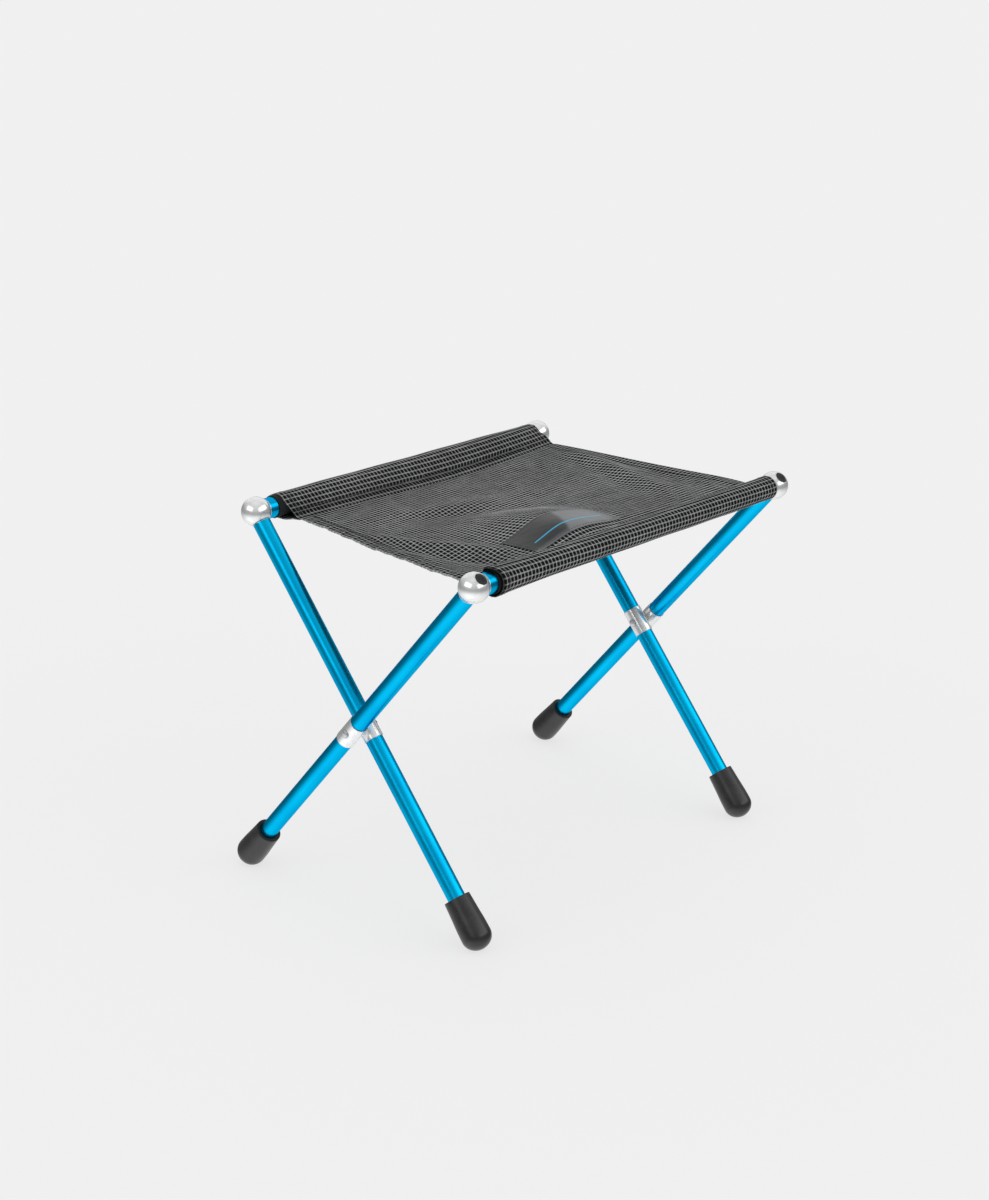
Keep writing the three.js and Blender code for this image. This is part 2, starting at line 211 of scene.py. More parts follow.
def grid_object(name, verts, quads):
    """A large mesh of quads from arrays, millimetres."""
    mesh = bpy.data.meshes.new(name)
    count = len(quads)
    mesh.vertices.add(len(verts))
    mesh.vertices.foreach_set("co", (verts * 0.001).astype(np.float32).ravel())
    mesh.loops.add(count * 4)
    mesh.loops.foreach_set("vertex_index", quads.astype(np.int32).ravel())
    mesh.polygons.add(count)
    mesh.polygons.foreach_set("loop_start", (np.arange(count) * 4).astype(np.int32))
    mesh.polygons.foreach_set("use_smooth", np.ones(count, bool))
    mesh.update(calc_edges=True)
    mesh.validate()
    return link_object(name, mesh)


@contextlib.contextmanager
def editing(obj):
    """Opens an object's mesh for bmesh work and writes it back."""
    work = bmesh.new()
    work.from_mesh(obj.data)
    yield work
    work.to_mesh(obj.data)
    work.free()
    obj.data.update()


def face_outward(obj):
    with editing(obj) as work:
        bmesh.ops.recalc_face_normals(work, faces=work.faces)


def turned(name, profile, segments, closed=False):
    """Solid about Z from (radius, z) points, its outside on the right as z rises."""
    verts, rings = [], []
    for radius, z in profile:
        count = 1 if radius < 1e-6 else segments
        rings.append(range(len(verts), len(verts) + count))
        for k in range(count):
            angle = 2 * math.pi * k / segments
            verts.append((radius * math.cos(angle), radius * math.sin(angle), z))
    obj = new_object(name, verts, skin(rings + rings[:1] if closed else rings))
    face_outward(obj)
    return obj


def place(obj, matrix_mm):
    """Moves a mesh by a matrix in millimetres."""
    matrix = matrix_mm.copy()
    matrix.translation = matrix.translation * 0.001
    obj.data.transform(matrix)
    obj.data.update()


def drill_rivet_hole(obj, z):
    """Cuts the rivet's hole through a tube along X."""
    profile = [(0, -20), (RIVET_HOLE_R, -20), (RIVET_HOLE_R, 20), (0, 20)]
    cutter = turned("drill", profile, 40)
    place(cutter, Matrix.Translation((0, 0, z)) @ Matrix.Rotation(math.pi / 2, 4, "Y"))
    cut = obj.modifiers.new("cut", "BOOLEAN")
    cut.operation = "DIFFERENCE"
    cut.solver = "EXACT"
    cut.object = cutter
    graph = bpy.context.evaluated_depsgraph_get()
    graph.update()
    mesh = bpy.data.meshes.new_from_object(obj.evaluated_get(graph))
    obj.modifiers.clear()
    uncut = obj.data
    obj.data = mesh
    bpy.data.meshes.remove(uncut)
    bpy.data.objects.remove(cutter)


def cut_flat(obj, point, normal, bevel):
    """Cuts away what lies beyond a plane (mm), closes the hole and bevels its rim."""
    point, normal = Vector(point), Vector(normal)
    with editing(obj) as work:
        cut = bmesh.ops.bisect_plane(
            work, geom=work.verts[:] + work.edges[:] + work.faces[:],
            plane_co=point * 0.001, plane_no=normal, clear_outer=True, dist=1e-7,
        )
        edges = [e for e in cut["geom_cut"] if isinstance(e, bmesh.types.BMEdge)]
        edges = [e for e in edges if e.is_valid and e.is_boundary]
        bmesh.ops.holes_fill(work, edges=edges, sides=0)
        bmesh.ops.recalc_face_normals(work, faces=work.faces)
    with editing(obj) as work:
        rim = [
            edge for edge in work.edges
            if all(abs((vert.co * 1000 - point).dot(normal)) < 1e-3 for vert in edge.verts)
        ]
        bmesh.ops.bevel(work, geom=rim, offset=bevel * 0.001, segments=3, profile=0.5,
                        affect="EDGES", clamp_overlap=True)


def register(obj, material, body=None, replaces=None):
    obj.data.materials.clear()
    obj.data.materials.append(material)
    if body:
        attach(obj, body)
    if replaces:
        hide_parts(replaces)


def finish_hard(obj, matrix_mm, wear, slot, body, replaces, sharp=32):
    """Finishes a hard part. Its points store their place in its own axes as "loc" (mm) and
    a 0 to 1 "wear"; edges over `sharp` degrees stay crisp."""
    mesh = obj.data
    coords = np.empty(len(mesh.vertices) * 3)
    mesh.vertices.foreach_get("co", coords)
    inverse = np.array(matrix_mm.inverted())
    loc = coords.reshape(-1, 3) * 1000.0 @ inverse[:3, :3].T + inverse[:3, 3]
    attribute = mesh.attributes.new("loc", "FLOAT_VECTOR", "POINT")
    attribute.data.foreach_set("vector", loc.astype(np.float32).ravel())
    attribute = mesh.attributes.new("wear", "FLOAT", "POINT")
    attribute.data.foreach_set("value", np.clip(wear(loc), 0, 1).astype(np.float32))
    mesh.polygons.foreach_set("use_smooth", np.ones(len(mesh.polygons), bool))
    mesh.set_sharp_from_angle(angle=math.radians(sharp))
    register(obj, HARD_MATERIALS[slot], body, replaces)


# ------------------------------------------------------------------ node helpers


class Value:
    """A node's output. Arithmetic on it adds Math nodes to its tree."""

    def __init__(self, nodes, socket):
        self.nodes = nodes
        self.socket = socket

    def __add__(self, other):
        return self.nodes.math("ADD", self, other)

    def __radd__(self, other):
        return self.nodes.math("ADD", other, self)

    def __sub__(self, other):
        return self.nodes.math("SUBTRACT", self, other)

    def __rsub__(self, other):
        return self.nodes.math("SUBTRACT", other, self)

    def __mul__(self, other):
        return self.nodes.math("MULTIPLY", self, other)

    def __abs__(self):
        return self.nodes.math("ABSOLUTE", self)

    def sine(self):
        return self.nodes.math("SINE", self)

    def ramp(self, span, to=(0.0, 1.0), smooth=True):
        """Maps the span of values onto another, held level beyond its ends."""
        return self.nodes.add(
            "ShaderNodeMapRange", {0: self, 1: span[0], 2: span[1], 3: to[0], 4: to[1]},
            interpolation_type="SMOOTHSTEP" if smooth else "LINEAR",
        )

    def toward(self, colour, by):
        """This colour mixed with another by a share."""
        return self.nodes.mix(self, colour, by)


class Nodes:
    """Short calls for building a node tree. Inputs may be Values or plain values."""

    def __init__(self, tree):
        self.tree = tree
        tree.nodes.clear()

    def fill(self, node, inputs):
        for key, value in inputs.items():
            if isinstance(value, Value):
                self.tree.links.new(value.socket, node.inputs[key])
            else:
                node.inputs[key].default_value = value

    def node(self, kind, inputs=None, **settings):
        node = self.tree.nodes.new(kind)
        for key, value in settings.items():
            setattr(node, key, value)
        self.fill(node, inputs or {})
        return node

    def add(self, kind, inputs=None, output=0, **settings):
        """A new node's output, as a Value."""
        return Value(self, self.node(kind, inputs, **settings).outputs[output])

    def math(self, operation, *values):
        return self.add("ShaderNodeMath", dict(enumerate(values)), operation=operation)

    def vector(self, operation, *values):
        output = "Value" if operation in ("DOT_PRODUCT", "LENGTH") else 0
        return self.add("ShaderNodeVectorMath", dict(enumerate(values)), output,
                        operation=operation)

    def separate(self, vector):
        node = self.node("ShaderNodeSeparateXYZ", {0: vector})
        return [Value(self, socket) for socket in node.outputs]

    def combine(self, x, y, z):
        return self.add("ShaderNodeCombineXYZ", {0: x, 1: y, 2: z})

    def attribute(self, name, output="Vector"):
        return self.add("ShaderNodeAttribute", output=output, attribute_name=name)

    def noise(self, vector, scale, detail=2.0, rough=0.5, dimensions="3D"):
        return self.add(
            "ShaderNodeTexNoise",
            {"Vector": vector, "Scale": scale, "Detail": detail, "Roughness": rough},
            noise_dimensions=dimensions,
        )

    def stretched_noise(self, xyz, scales, detail, rough):
        """Noise with its own scale along each axis."""
        scaled = [axis * scale for axis, scale in zip(xyz, scales)]
        return self.noise(self.combine(*scaled), 1.0, detail, rough)

    def mix(self, start, end, by, mode="MIX"):
        start, end = (c if isinstance(c, Value) else (*c, 1.0) for c in (start, end))
        return self.add("ShaderNodeMix", {0: by, 6: start, 7: end}, 2,
                        data_type="RGBA", blend_type=mode)

    def mix_float(self, start, end, by):
        return self.add("ShaderNodeMix", {0: by, 2: start, 3: end}, data_type="FLOAT")

    def bump(self, height, strength, distance):
        return self.add("ShaderNodeBump",
                        {"Strength": strength, "Distance": distance, "Height": height})

    def weave_waves(self, u, v, threads):
        """Sine waves of the crossing yarns: `threads` to each unit of u and v."""
        return [(axis * (2 * math.pi * threads)).sine() for axis in (u, v)]


def new_material(name):
    """A material, its nodes and its output node."""
    material = bpy.data.materials.new(name)
    material.use_nodes = True
    nodes = Nodes(material.node_tree)
    return material, nodes, nodes.node("ShaderNodeOutputMaterial")


def principled(name):
    """A material, its nodes and its Principled shader."""
    material, nodes, output = new_material(name)
    shader = nodes.node("ShaderNodeBsdfPrincipled")
    nodes.tree.links.new(shader.outputs[0], output.inputs[0])
    return material, nodes, shader


# ------------------------------------------------------------------ hard materials


def anodised():
    """Blue dyed metal with streaks drawn along the tube, rubbed bare at its ends."""
    material, nodes, shader = principled("anodised_blue")
    loc = nodes.attribute("loc")
    wear = nodes.attribute("wear", "Fac")
    xyz = nodes.separate(loc)
    drawn = nodes.stretched_noise(xyz, scales=(2.3, 2.3, 0.012), detail=3.0, rough=0.6)
    fine = nodes.stretched_noise(xyz, scales=(7.0, 7.0, 0.05), detail=2.0, rough=0.6)
    bath = nodes.noise(loc, scale=0.018)
    smudge = nodes.noise(loc, scale=0.13, detail=4.0, rough=0.65)
    grain = nodes.noise(loc, scale=5.0, rough=0.6)
    dye, pale_dye = (0.0015, 0.385, 0.71), (0.002, 0.465, 0.79)
    deep_streak, light_streak, metal = (0.0012, 0.345, 0.66), (0.01, 0.53, 0.85), (0.70, 0.73, 0.75)
    base = nodes.mix(dye, pale_dye, by=bath.ramp(span=(0.3, 0.7)))
    base = base.toward(deep_streak, by=drawn.ramp(span=(0.35, 0.7), to=(0.0, 0.35)))
    base = base.toward(light_streak, by=fine.ramp(span=(0.62, 0.75), to=(0.0, 0.22)))
    # Noise breaks the worn edge into chips.
    chip = wear + (nodes.noise(loc, scale=1.1, detail=4.0, rough=0.7) - 0.5) * 1.1
    bare = chip.ramp(span=(0.62, 0.8))
    base = base.toward(metal, by=bare)
    rough = 0.245 + drawn.ramp(span=(0.3, 0.7), to=(-0.02, 0.035))
    rough = rough + smudge.ramp(span=(0.45, 0.7), to=(0.0, 0.05))
    rough = rough + bare * 0.06
    height = fine * 0.6 + grain * 0.25
    height = height - bare * 0.5
    nodes.fill(shader, {
        "Base Color": base, "Metallic": 1.0, "Roughness": rough,
        "Specular Tint": (0.30, 0.80, 1.0, 1.0),
        "Normal": nodes.bump(height, strength=0.22, distance=0.00004),
    })
    return material


def bright(name, polish, tint, lines):
    """Turned metal. `polish` is the least roughness, `lines` the turning lines per mm."""
    material, nodes, shader = principled(name)
    loc = nodes.attribute("loc")
    wear = nodes.attribute("wear", "Fac")
    x, y, z = nodes.separate(loc)
    radius = nodes.vector("LENGTH", nodes.combine(x, y, 0.0))
    rings = nodes.combine(z * lines, radius * (lines * 0.6), 0.0)
    turning = nodes.noise(rings, scale=1.0, rough=0.7)
    haze = nodes.noise(loc, scale=0.35, detail=4.0, rough=0.6)
    speck = nodes.noise(loc, scale=2.6, detail=3.0, rough=0.7)
    scratch = nodes.stretched_noise((x, y, z), scales=(0.8, 6.0, 0.9), detail=2.0, rough=0.8)
    dull = tuple(c * 0.86 for c in tint)
    speck_grey, grime_grey = (0.62, 0.63, 0.64), (0.30, 0.30, 0.30)
    base = nodes.mix(tint, dull, by=haze.ramp(span=(0.4, 0.7), to=(0.0, 0.7)))
    base = base.toward(speck_grey, by=speck.ramp(span=(0.62, 0.74), to=(0.0, 0.35)))
    grime = wear * haze.ramp(span=(0.25, 0.6), to=(0.25, 1.0))
    base = base.toward(grime_grey, by=grime * 0.55)
    rough = polish + haze.ramp(span=(0.35, 0.7), to=(0.0, 0.08))
    rough = rough + speck.ramp(span=(0.55, 0.75), to=(0.0, 0.06))
    rough = rough + grime * 0.12
    height = turning * 0.8 + scratch.ramp(span=(0.66, 0.7)) * -0.5
    nodes.fill(shader, {
        "Base Color": base, "Roughness": rough,
        "Metallic": 0.72,     # leaves a satin scatter under the shine
        "Normal": nodes.bump(height, strength=0.16, distance=0.00004),
    })
    return material


def rubber():
    """Black moulded rubber, scuffed where it meets the ground, with painted shade in its mouth."""
    material, nodes, shader = principled("foot_rubber")
    loc = nodes.attribute("loc")
    wear = nodes.attribute("wear", "Fac")
    grain = nodes.noise(loc, scale=2.8, detail=3.0, rough=0.7)
    pores = nodes.add("ShaderNodeTexVoronoi", {"Vector": loc, "Scale": 2.1})
    patch = nodes.noise(loc, scale=0.16, detail=3.0, rough=0.6)
    dust = nodes.noise(loc, scale=0.7, detail=5.0, rough=0.75)
    dark, light, grain_grey = (0.013, 0.0133, 0.0136), (0.0205, 0.0209, 0.0214), (0.034, 0.034, 0.035)
    mouth_shade_black, scuff_grey = (0.004, 0.004, 0.0043), (0.085, 0.083, 0.08)
    base = nodes.mix(dark, light, by=patch.ramp(span=(0.3, 0.7)))
    base = base.toward(grain_grey, by=grain.ramp(span=(0.55, 0.75), to=(0.0, 0.3)))
    # Painted shade: the moulded mouth is darkened where the tube shades it.
    mouth = nodes.separate(loc)[2].ramp(span=(-FOOT_MOUTH - 0.4, -FOOT_MOUTH - 0.12))
    base = base.toward(mouth_shade_black, by=mouth * 0.75)
    scuff = wear * dust.ramp(span=(0.35, 0.65))
    base = base.toward(scuff_grey, by=scuff * 0.75)
    rough = patch.ramp(span=(0.3, 0.7), to=(0.25, 0.33)) + scuff * 0.3
    rough = rough + mouth * 0.3
    height = grain + pores.ramp(span=(0.0, 0.35)) * 0.5
    nodes.fill(shader, {
        "Base Color": base, "Roughness": rough, "Specular IOR Level": 0.5,
        "Normal": nodes.bump(height, strength=0.3, distance=0.00008),
    })
    return material


def plug_plastic():
    """Black plastic, paler along worn edges."""
    material, nodes, shader = principled("plug_plastic")
    loc = nodes.attribute("loc")
    wear = nodes.attribute("wear", "Fac")
    tone = nodes.noise(loc, scale=0.5, detail=3.0, rough=0.6)
    grain = nodes.noise(loc, scale=4.5, rough=0.7)
    dark, light, worn = (0.008, 0.008, 0.0085), (0.017, 0.017, 0.018), (0.0608, 0.0608, 0.0632)
    base = nodes.mix(dark, light, by=tone.ramp(span=(0.3, 0.7)))
    edge = wear * grain.ramp(span=(0.3, 0.6))
    nodes.fill(shader, {
        "Base Color": base.toward(worn, by=edge * 0.5),
        "Roughness": grain.ramp(span=(0.3, 0.7), to=(0.44, 0.58)),
        "Specular IOR Level": 0.3,
        "Normal": nodes.bump(grain, strength=0.25, distance=0.00005),
    })
    return material


def object_plastic(name, low, high, rough, braid=False):
    """For the frame's own nodes, which have no "loc": textured by object coordinates (m)."""
    material, nodes, shader = principled(name)
    coords = nodes.add("ShaderNodeTexCoord", output="Object")
    tone = nodes.noise(coords, scale=600.0, detail=3.0, rough=0.6)
    grain = nodes.noise(coords, scale=5200.0, rough=0.7)
    height = grain
    base = nodes.mix(low, high, by=tone.ramp(span=(0.3, 0.7)))
    if braid:
        x, _, z = nodes.separate(coords)
        per_metre = 9000.0
        plait = ((z + x) * per_metre).sine() * ((z - x) * per_metre).sine()
        base = base.toward(tuple(c * 1.9 for c in high), by=plait.ramp(span=(-0.2, 0.6)))
        height = plait + grain
    nodes.fill(shader, {
        "Base Color": base,
        "Roughness": grain.ramp(span=(0.3, 0.7), to=(rough - 0.08, rough + 0.08)),
        "Normal": nodes.bump(height, strength=0.35, distance=0.0002),
    })
    return material


# ------------------------------------------------------------------ cloth materials


def fabric():
    """Ripstop grid: dark cells of fine plain weave, pale doubled threads round each cell.
    UV map "weave" counts grid threads; attribute "tone" darkens hems and carries painted shade along
    hem edges, by the seams and on the sleeves."""
    material, nodes, shader = principled("seat_fabric")
    uv = nodes.add("ShaderNodeUVMap", uv_map="weave")
    tone = nodes.attribute("tone", "Fac")
    u, v, _ = nodes.separate(uv)
    # The threads wander a little off a true grid.
    wobble = nodes.noise(uv, scale=0.35, dimensions="2D")
    across = u + (wobble - 0.5) * 0.10
    along = v + (nodes.noise(nodes.combine(v, u, 3.0), scale=0.35) - 0.5) * 0.10

    def thread(count):
        off = abs(nodes.math("FRACT", count + 0.5) - 0.5)
        return off.ramp(span=(0.09, 0.155), to=(1.0, 0.0))

    thread_u, thread_v = thread(across), thread(along)
    wave_u, wave_v = nodes.weave_waves(across, along, threads=7)
    plain = wave_u * wave_v
    over_u = wave_v.ramp(span=(-0.7, 0.3), to=(0.45, 1.0))
    over_v = wave_u.ramp(span=(-0.7, 0.3), to=(0.45, 1.0))
    grid = nodes.math("MAXIMUM", thread_u * over_u, thread_v * over_v)
    cross = thread_u * thread_v
    # Slubs are long in one yarn's direction and short in the other's.
    slub = nodes.noise(nodes.combine(across * 0.22, along * 2.1, 0.0), 1.0, detail=3.0, rough=0.6)
    slub_v = nodes.noise(nodes.combine(across * 2.1, along * 0.22, 5.0), 1.0, detail=3.0, rough=0.6)
    cloud = nodes.noise(uv, scale=0.055, detail=3.0, rough=0.6, dimensions="2D")
    cell_dark, cell_light = (0.004, 0.0043, 0.0046), (0.010, 0.0106, 0.011)
    yarn_dark, yarn_light, yarn_cross = (0.27, 0.277, 0.277), (0.48, 0.49, 0.49), (0.66, 0.67, 0.67)
    cell = nodes.mix(cell_dark, cell_light, by=plain.ramp(span=(-0.6, 0.8)))
    cell = cell.toward(cell_light, by=cloud.ramp(span=(0.35, 0.7), to=(0.0, 0.5)))
    yarn = nodes.mix(yarn_dark, yarn_light, by=(slub + slub_v).ramp(span=(0.75, 1.25)))
    yarn = yarn.toward(yarn_cross, by=cross * 0.8)
    colour = nodes.mix(cell, yarn, by=grid)
    shade = tone * cloud.ramp(span=(0.3, 0.7), to=(0.88, 1.1))
    fuzz = nodes.noise(uv, scale=9.0, detail=3.0, rough=0.6, dimensions="2D")
    height = plain * 0.35 + grid * 0.9
    height = height + fuzz * 0.25
    nodes.fill(shader, {
        "Base Color": nodes.add("ShaderNodeHueSaturation", {"Value": shade, "Color": colour}),
        "Roughness": nodes.mix_float(0.82, 0.62, by=grid),
        "Specular IOR Level": nodes.mix_float(0.05, 0.16, by=grid),
        "Sheen Weight": 0.0, "Sheen Roughness": 0.45, "Sheen Tint": (0.85, 0.88, 0.9, 1.0),
        "Normal": nodes.bump(height, strength=0.45, distance=0.00018),
    })
    return material


def mouth_shade_cloth():
    """Black plain-weave cloth, painted shade inside the sleeve mouths. UV map "weave" and attribute
    "tone" as on the seat.
    """
    material, nodes, shader = principled("mouth_shade_cloth")
    uv = nodes.add("ShaderNodeUVMap", uv_map="weave")
    tone = nodes.attribute("tone", "Fac")
    u, v, _ = nodes.separate(uv)
    wave_u, wave_v = nodes.weave_waves(u, v, threads=5)
    plain = wave_u * wave_v
    fuzz = nodes.noise(uv, scale=3.0, detail=4.0, rough=0.7, dimensions="2D")
    dark, light, fuzz_grey = (0.010, 0.0105, 0.011), (0.022, 0.0225, 0.023), (0.04, 0.04, 0.04)
    base = nodes.mix(dark, light, by=plain.ramp(span=(-0.7, 0.7)))
    base = base.toward(fuzz_grey, by=fuzz.ramp(span=(0.6, 0.8), to=(0.0, 0.4)))
    nodes.fill(shader, {
        "Base Color": nodes.add("ShaderNodeHueSaturation", {"Value": tone + 0.4, "Color": base}),
        "Roughness": fuzz.ramp(span=(0.3, 0.7), to=(0.7, 0.9)),
        "Specular IOR Level": 0.2,
        "Normal": nodes.bump(plain, strength=0.4, distance=0.00015),
    })
    return material


# Blue line on the patch (mm): its height up the patch and its two ends.
LINE_V, LINE_START, LINE_END = 10.5, 8.0, 76.0


def patch_cloth():
    """Smooth tight patch with one blue line along it and painted sheen on its right. UV map "mm": u
    from the left edge, v from the front one."""
    material, nodes, shader = principled("label_patch")
    uv = nodes.add("ShaderNodeUVMap", uv_map="mm")
    u, v, _ = nodes.separate(uv)
    wave_u, wave_v = nodes.weave_waves(u, v, threads=1.7)
    plain = wave_u * wave_v
    cloud = nodes.noise(uv, scale=0.05, detail=4.0, rough=0.6, dimensions="2D")
    lint = nodes.noise(uv, scale=1.3, detail=4.0, rough=0.7, dimensions="2D")
    dark, light, cloud_grey = (0.010, 0.0106, 0.011), (0.019, 0.020, 0.0205), (0.024, 0.025, 0.026)
    painted_sheen_grey, lint_grey, line_blue = (0.19, 0.20, 0.21), (0.09, 0.09, 0.09), (0.02, 0.42, 0.72)
    base = nodes.mix(dark, light, by=plain.ramp(span=(-0.7, 0.7)))
    base = base.toward(cloud_grey, by=cloud.ramp(span=(0.35, 0.7), to=(0.0, 0.6)))
    # Painted sheen, pale right of a slanting, clouded border, and a painted highlight along the front
    # edge at the left.
    slant = u + (v - 16.0) * -0.55
    slant = slant + (cloud - 0.5) * 9.0
    painted_sheen = slant.ramp(span=(38.0, 44.0), to=(0.0, 0.85))
    painted_sheen = painted_sheen * u.ramp(span=(74.0, 84.0), to=(1.0, 0.45))
    painted_highlight_strip = v.ramp(span=(1.0, 5.0), to=(0.55, 0.0)) * u.ramp(span=(30.0, 46.0), to=(1.0, 0.0))
    base = base.toward(painted_sheen_grey, by=nodes.math("MAXIMUM", painted_sheen, painted_highlight_strip))
    base = base.toward(lint_grey, by=lint.ramp(span=(0.66, 0.8), to=(0.0, 0.5)))
    line = abs(v - LINE_V).ramp(span=(0.42, 0.7), to=(1.0, 0.0))
    line = line * u.ramp(span=(LINE_START, LINE_START + 0.8))
    line = line * u.ramp(span=(LINE_END - 0.8, LINE_END), to=(1.0, 0.0))
    worn = nodes.noise(uv, scale=1.9, detail=3.0, rough=0.7, dimensions="2D")
    worn = worn.ramp(span=(0.3, 0.5), to=(0.35, 1.0))
    base = base.toward(line_blue, by=line * worn)
    height = plain * 0.5 + line * 0.8
    nodes.fill(shader, {
        "Base Color": base,
        "Roughness": cloud.ramp(span=(0.3, 0.7), to=(0.30, 0.40)),
        "Specular IOR Level": 0.26, "Sheen Weight": 0.05,
        "Normal": nodes.bump(height, strength=0.25, distance=0.00008),
    })
    return material


def stitch_thread():
    """Twisted sewing thread. Attribute "loc": x along the stitch, y and z across it (mm)."""
    material, nodes, shader = principled("stitch_thread")
    loc = nodes.attribute("loc")
    x, y, z = nodes.separate(loc)
    around = nodes.math("ARCTAN2", z, y)
    ply = (x * 7.0 + around * 2.0).sine()
    fuzz = nodes.noise(loc, scale=6.0, detail=3.0, rough=0.7)
    dark, light, fuzz_grey = (0.010, 0.0105, 0.011), (0.045, 0.046, 0.047), (0.09, 0.09, 0.09)
    base = nodes.mix(dark, light, by=ply.ramp(span=(-0.8, 0.6)))
    nodes.fill(shader, {
        "Base Color": base.toward(fuzz_grey, by=fuzz.ramp(span=(0.55, 0.75), to=(0.0, 0.5))),
        "Roughness": fuzz.ramp(span=(0.3, 0.7), to=(0.5, 0.7)),
        "Sheen Weight": 0.15,
        "Normal": nodes.bump(ply, strength=0.5, distance=0.0001),
    })
    return material


HARD_MATERIALS = {
    # slot: material
    "anodised_tube": anodised(),
    "bright_aluminium": bright("bright_aluminium", polish=0.13, tint=(0.90, 0.905, 0.91), lines=9.0),
    "rivet_steel": bright("rivet_steel", polish=0.24, tint=(0.66, 0.67, 0.68), lines=5.0),
    "foot_rubber": rubber(),
    "plug_plastic": plug_plastic(),
    "nylon": object_plastic("nylon", low=(0.60, 0.59, 0.55), high=(0.74, 0.73, 0.69), rough=0.45),
    "elastic_cord": object_plastic("elastic_cord", low=(0.012, 0.012, 0.014),
                                   high=(0.035, 0.036, 0.04), rough=0.8, braid=True),
}
FABRIC = fabric()
MOUTH_SHADE_CLOTH = mouth_shade_cloth()
PATCH_CLOTH = patch_cloth()
THREAD = stitch_thread()


# ------------------------------------------------------------------ hard parts
# Each is drawn about its own Z. Leg parts have the ball centre at 0 and -Z down the leg.


def axis_distance(loc):
    return np.hypot(loc[:, 0], loc[:, 1])


def tube_profile(outer, inner, low, high, loops, longest):
    """Closed profile of a tube with softly broken ends and extra loops at given heights."""
    edge = fillet([(inner, low), (outer, low), (outer, high), (inner, high)],
                  [0, 0.28, 0.28, 0], 4)
    bottom, top = edge[: len(edge) // 2], edge[len(edge) // 2 :]
    loops = sorted(loops)
    heights = [bottom[-1][1] + 0.25, *loops, top[0][1] - 0.25]
    wall = split_long([bottom[-1], *((outer, z) for z in heights), top[0]], longest)
    bore = split_long([(inner, z) for z in [high, *reversed(loops), low]], longest * 2)
    return bottom[:-1] + wall + top[1:-1] + bore[:-1]


def build_ball(tag, world, body, run):
    """Corner ball with its two spigots, faced off flat for the rail."""
    neck = fillet(
        [(CORD_BORE_R, -LEG_FLAT - SPIGOT_LENGTH), (LEG_SPIGOT_R, -LEG_FLAT - SPIGOT_LENGTH),
         (LEG_SPIGOT_R, -LEG_FLAT), (LEG_OR, -LEG_FLAT)], [0, 0.5, 0.15, 0], 4)[:-1]
    port_angle = math.asin(PORT_R / BALL_R)
    leg_angle = math.pi - math.asin(LEG_OR / BALL_R)
    steps = 48
    angles = [leg_angle + (port_angle - leg_angle) * k / steps for k in range(steps + 1)]
    arc = [(BALL_R * math.sin(angle), BALL_R * math.cos(angle)) for angle in angles]
    line = neck + arc + [(PORT_R, PORT_FLOOR), (CORD_BORE_R, PORT_FLOOR)]
    # Fillets at the leg's rim, the port's rim and the port's floor.
    radii = [0] * len(neck) + [0.22] + [0] * (steps - 1) + [0.35, 0.2, 0]
    ball = turned("ball_" + tag, fillet(line, radii), 96, closed=True)
    cut_flat(ball, (run * RAIL_FLAT, 0, 0), (run, 0, 0), bevel=0.22)

    start, end = RAIL_FLAT - 0.6, RAIL_FLAT + SPIGOT_LENGTH
    spigot = fillet([(0, start), (RAIL_SPIGOT_R, start), (RAIL_SPIGOT_R, end), (0, end)],
                    [0, 0, 0.6, 0])
    stub = turned("spigot", spigot, 64)
    place(stub, Matrix.Rotation(run * math.pi / 2, 4, "Y"))
    with editing(ball) as work:
        work.from_mesh(stub.data)
    bpy.data.objects.remove(stub)
    place(ball, world)

    def wear(loc):
        port = bell(axis_distance(loc) - PORT_R, 0.8) * (loc[:, 2] > 5)
        leg = bell(loc[:, 2] + LEG_FLAT, 0.7)
        face = bell(loc[:, 0] * run - RAIL_FLAT, 0.5)
        return np.maximum.reduce([port, leg, face]) * (np.linalg.norm(loc, axis=1) > 6)

    finish_hard(ball, world, wear, "bright_aluminium", body, "corner_ball_" + tag, sharp=28)


def build_plug(tag, world, body):
    """Plug in the ball's port: a shallow cup with a soft rim and a faint dimple."""
    profile = fillet(
        [(0, PLUG_TOP - 1.0), (2.75, PLUG_TOP - 1.0), (2.75, PORT_FLOOR + 0.3),
         (PLUG_R, PORT_FLOOR + 0.3), (PLUG_R, PLUG_TOP), (2.6, PLUG_TOP + 0.05),
         (1.8, PLUG_TOP - 0.28), (0, PLUG_TOP - 0.3)],
        [0, 0.2, 0.2, 0.25, 0.55, 0.4, 0.5, 0])
    plug = turned("plug_" + tag, profile, 56)
    place(plug, world)
    finish_hard(plug, world, lambda loc: bell(axis_distance(loc) - 3.7, 0.4),
                "plug_plastic", body, "port_plug_" + tag)


def build_leg(tag, world, body):
    """Leg tube with the rivet's hole through it."""
    top = -LEG_FLAT - JOIN_GAP
    loops = [*np.linspace(-HUB_DROP - 12, -HUB_DROP + 12, 17), -FOOT_MOUTH - 3, -FOOT_MOUTH + 3]
    profile = tube_profile(LEG_OR, LEG_IR, -LEG_END, top, loops, longest=14.0)
    leg = turned("tube_leg_" + tag, profile, 72, closed=True)
    drill_rivet_hole(leg, -HUB_DROP)
    place(leg, world)

    def wear(loc):
        z = loc[:, 2]
        inside = (axis_distance(loc) < LEG_IR + 0.3) * 0.45
        hub = bell(np.abs(z + HUB_DROP) - HUB_LENGTH / 2, 0.8) * 0.12
        return np.maximum.reduce([bell(z - top, 0.5), bell(z + LEG_END, 0.6), inside, hub])

    finish_hard(leg, world, wear, "anodised_tube", body, "leg_tube_" + tag)


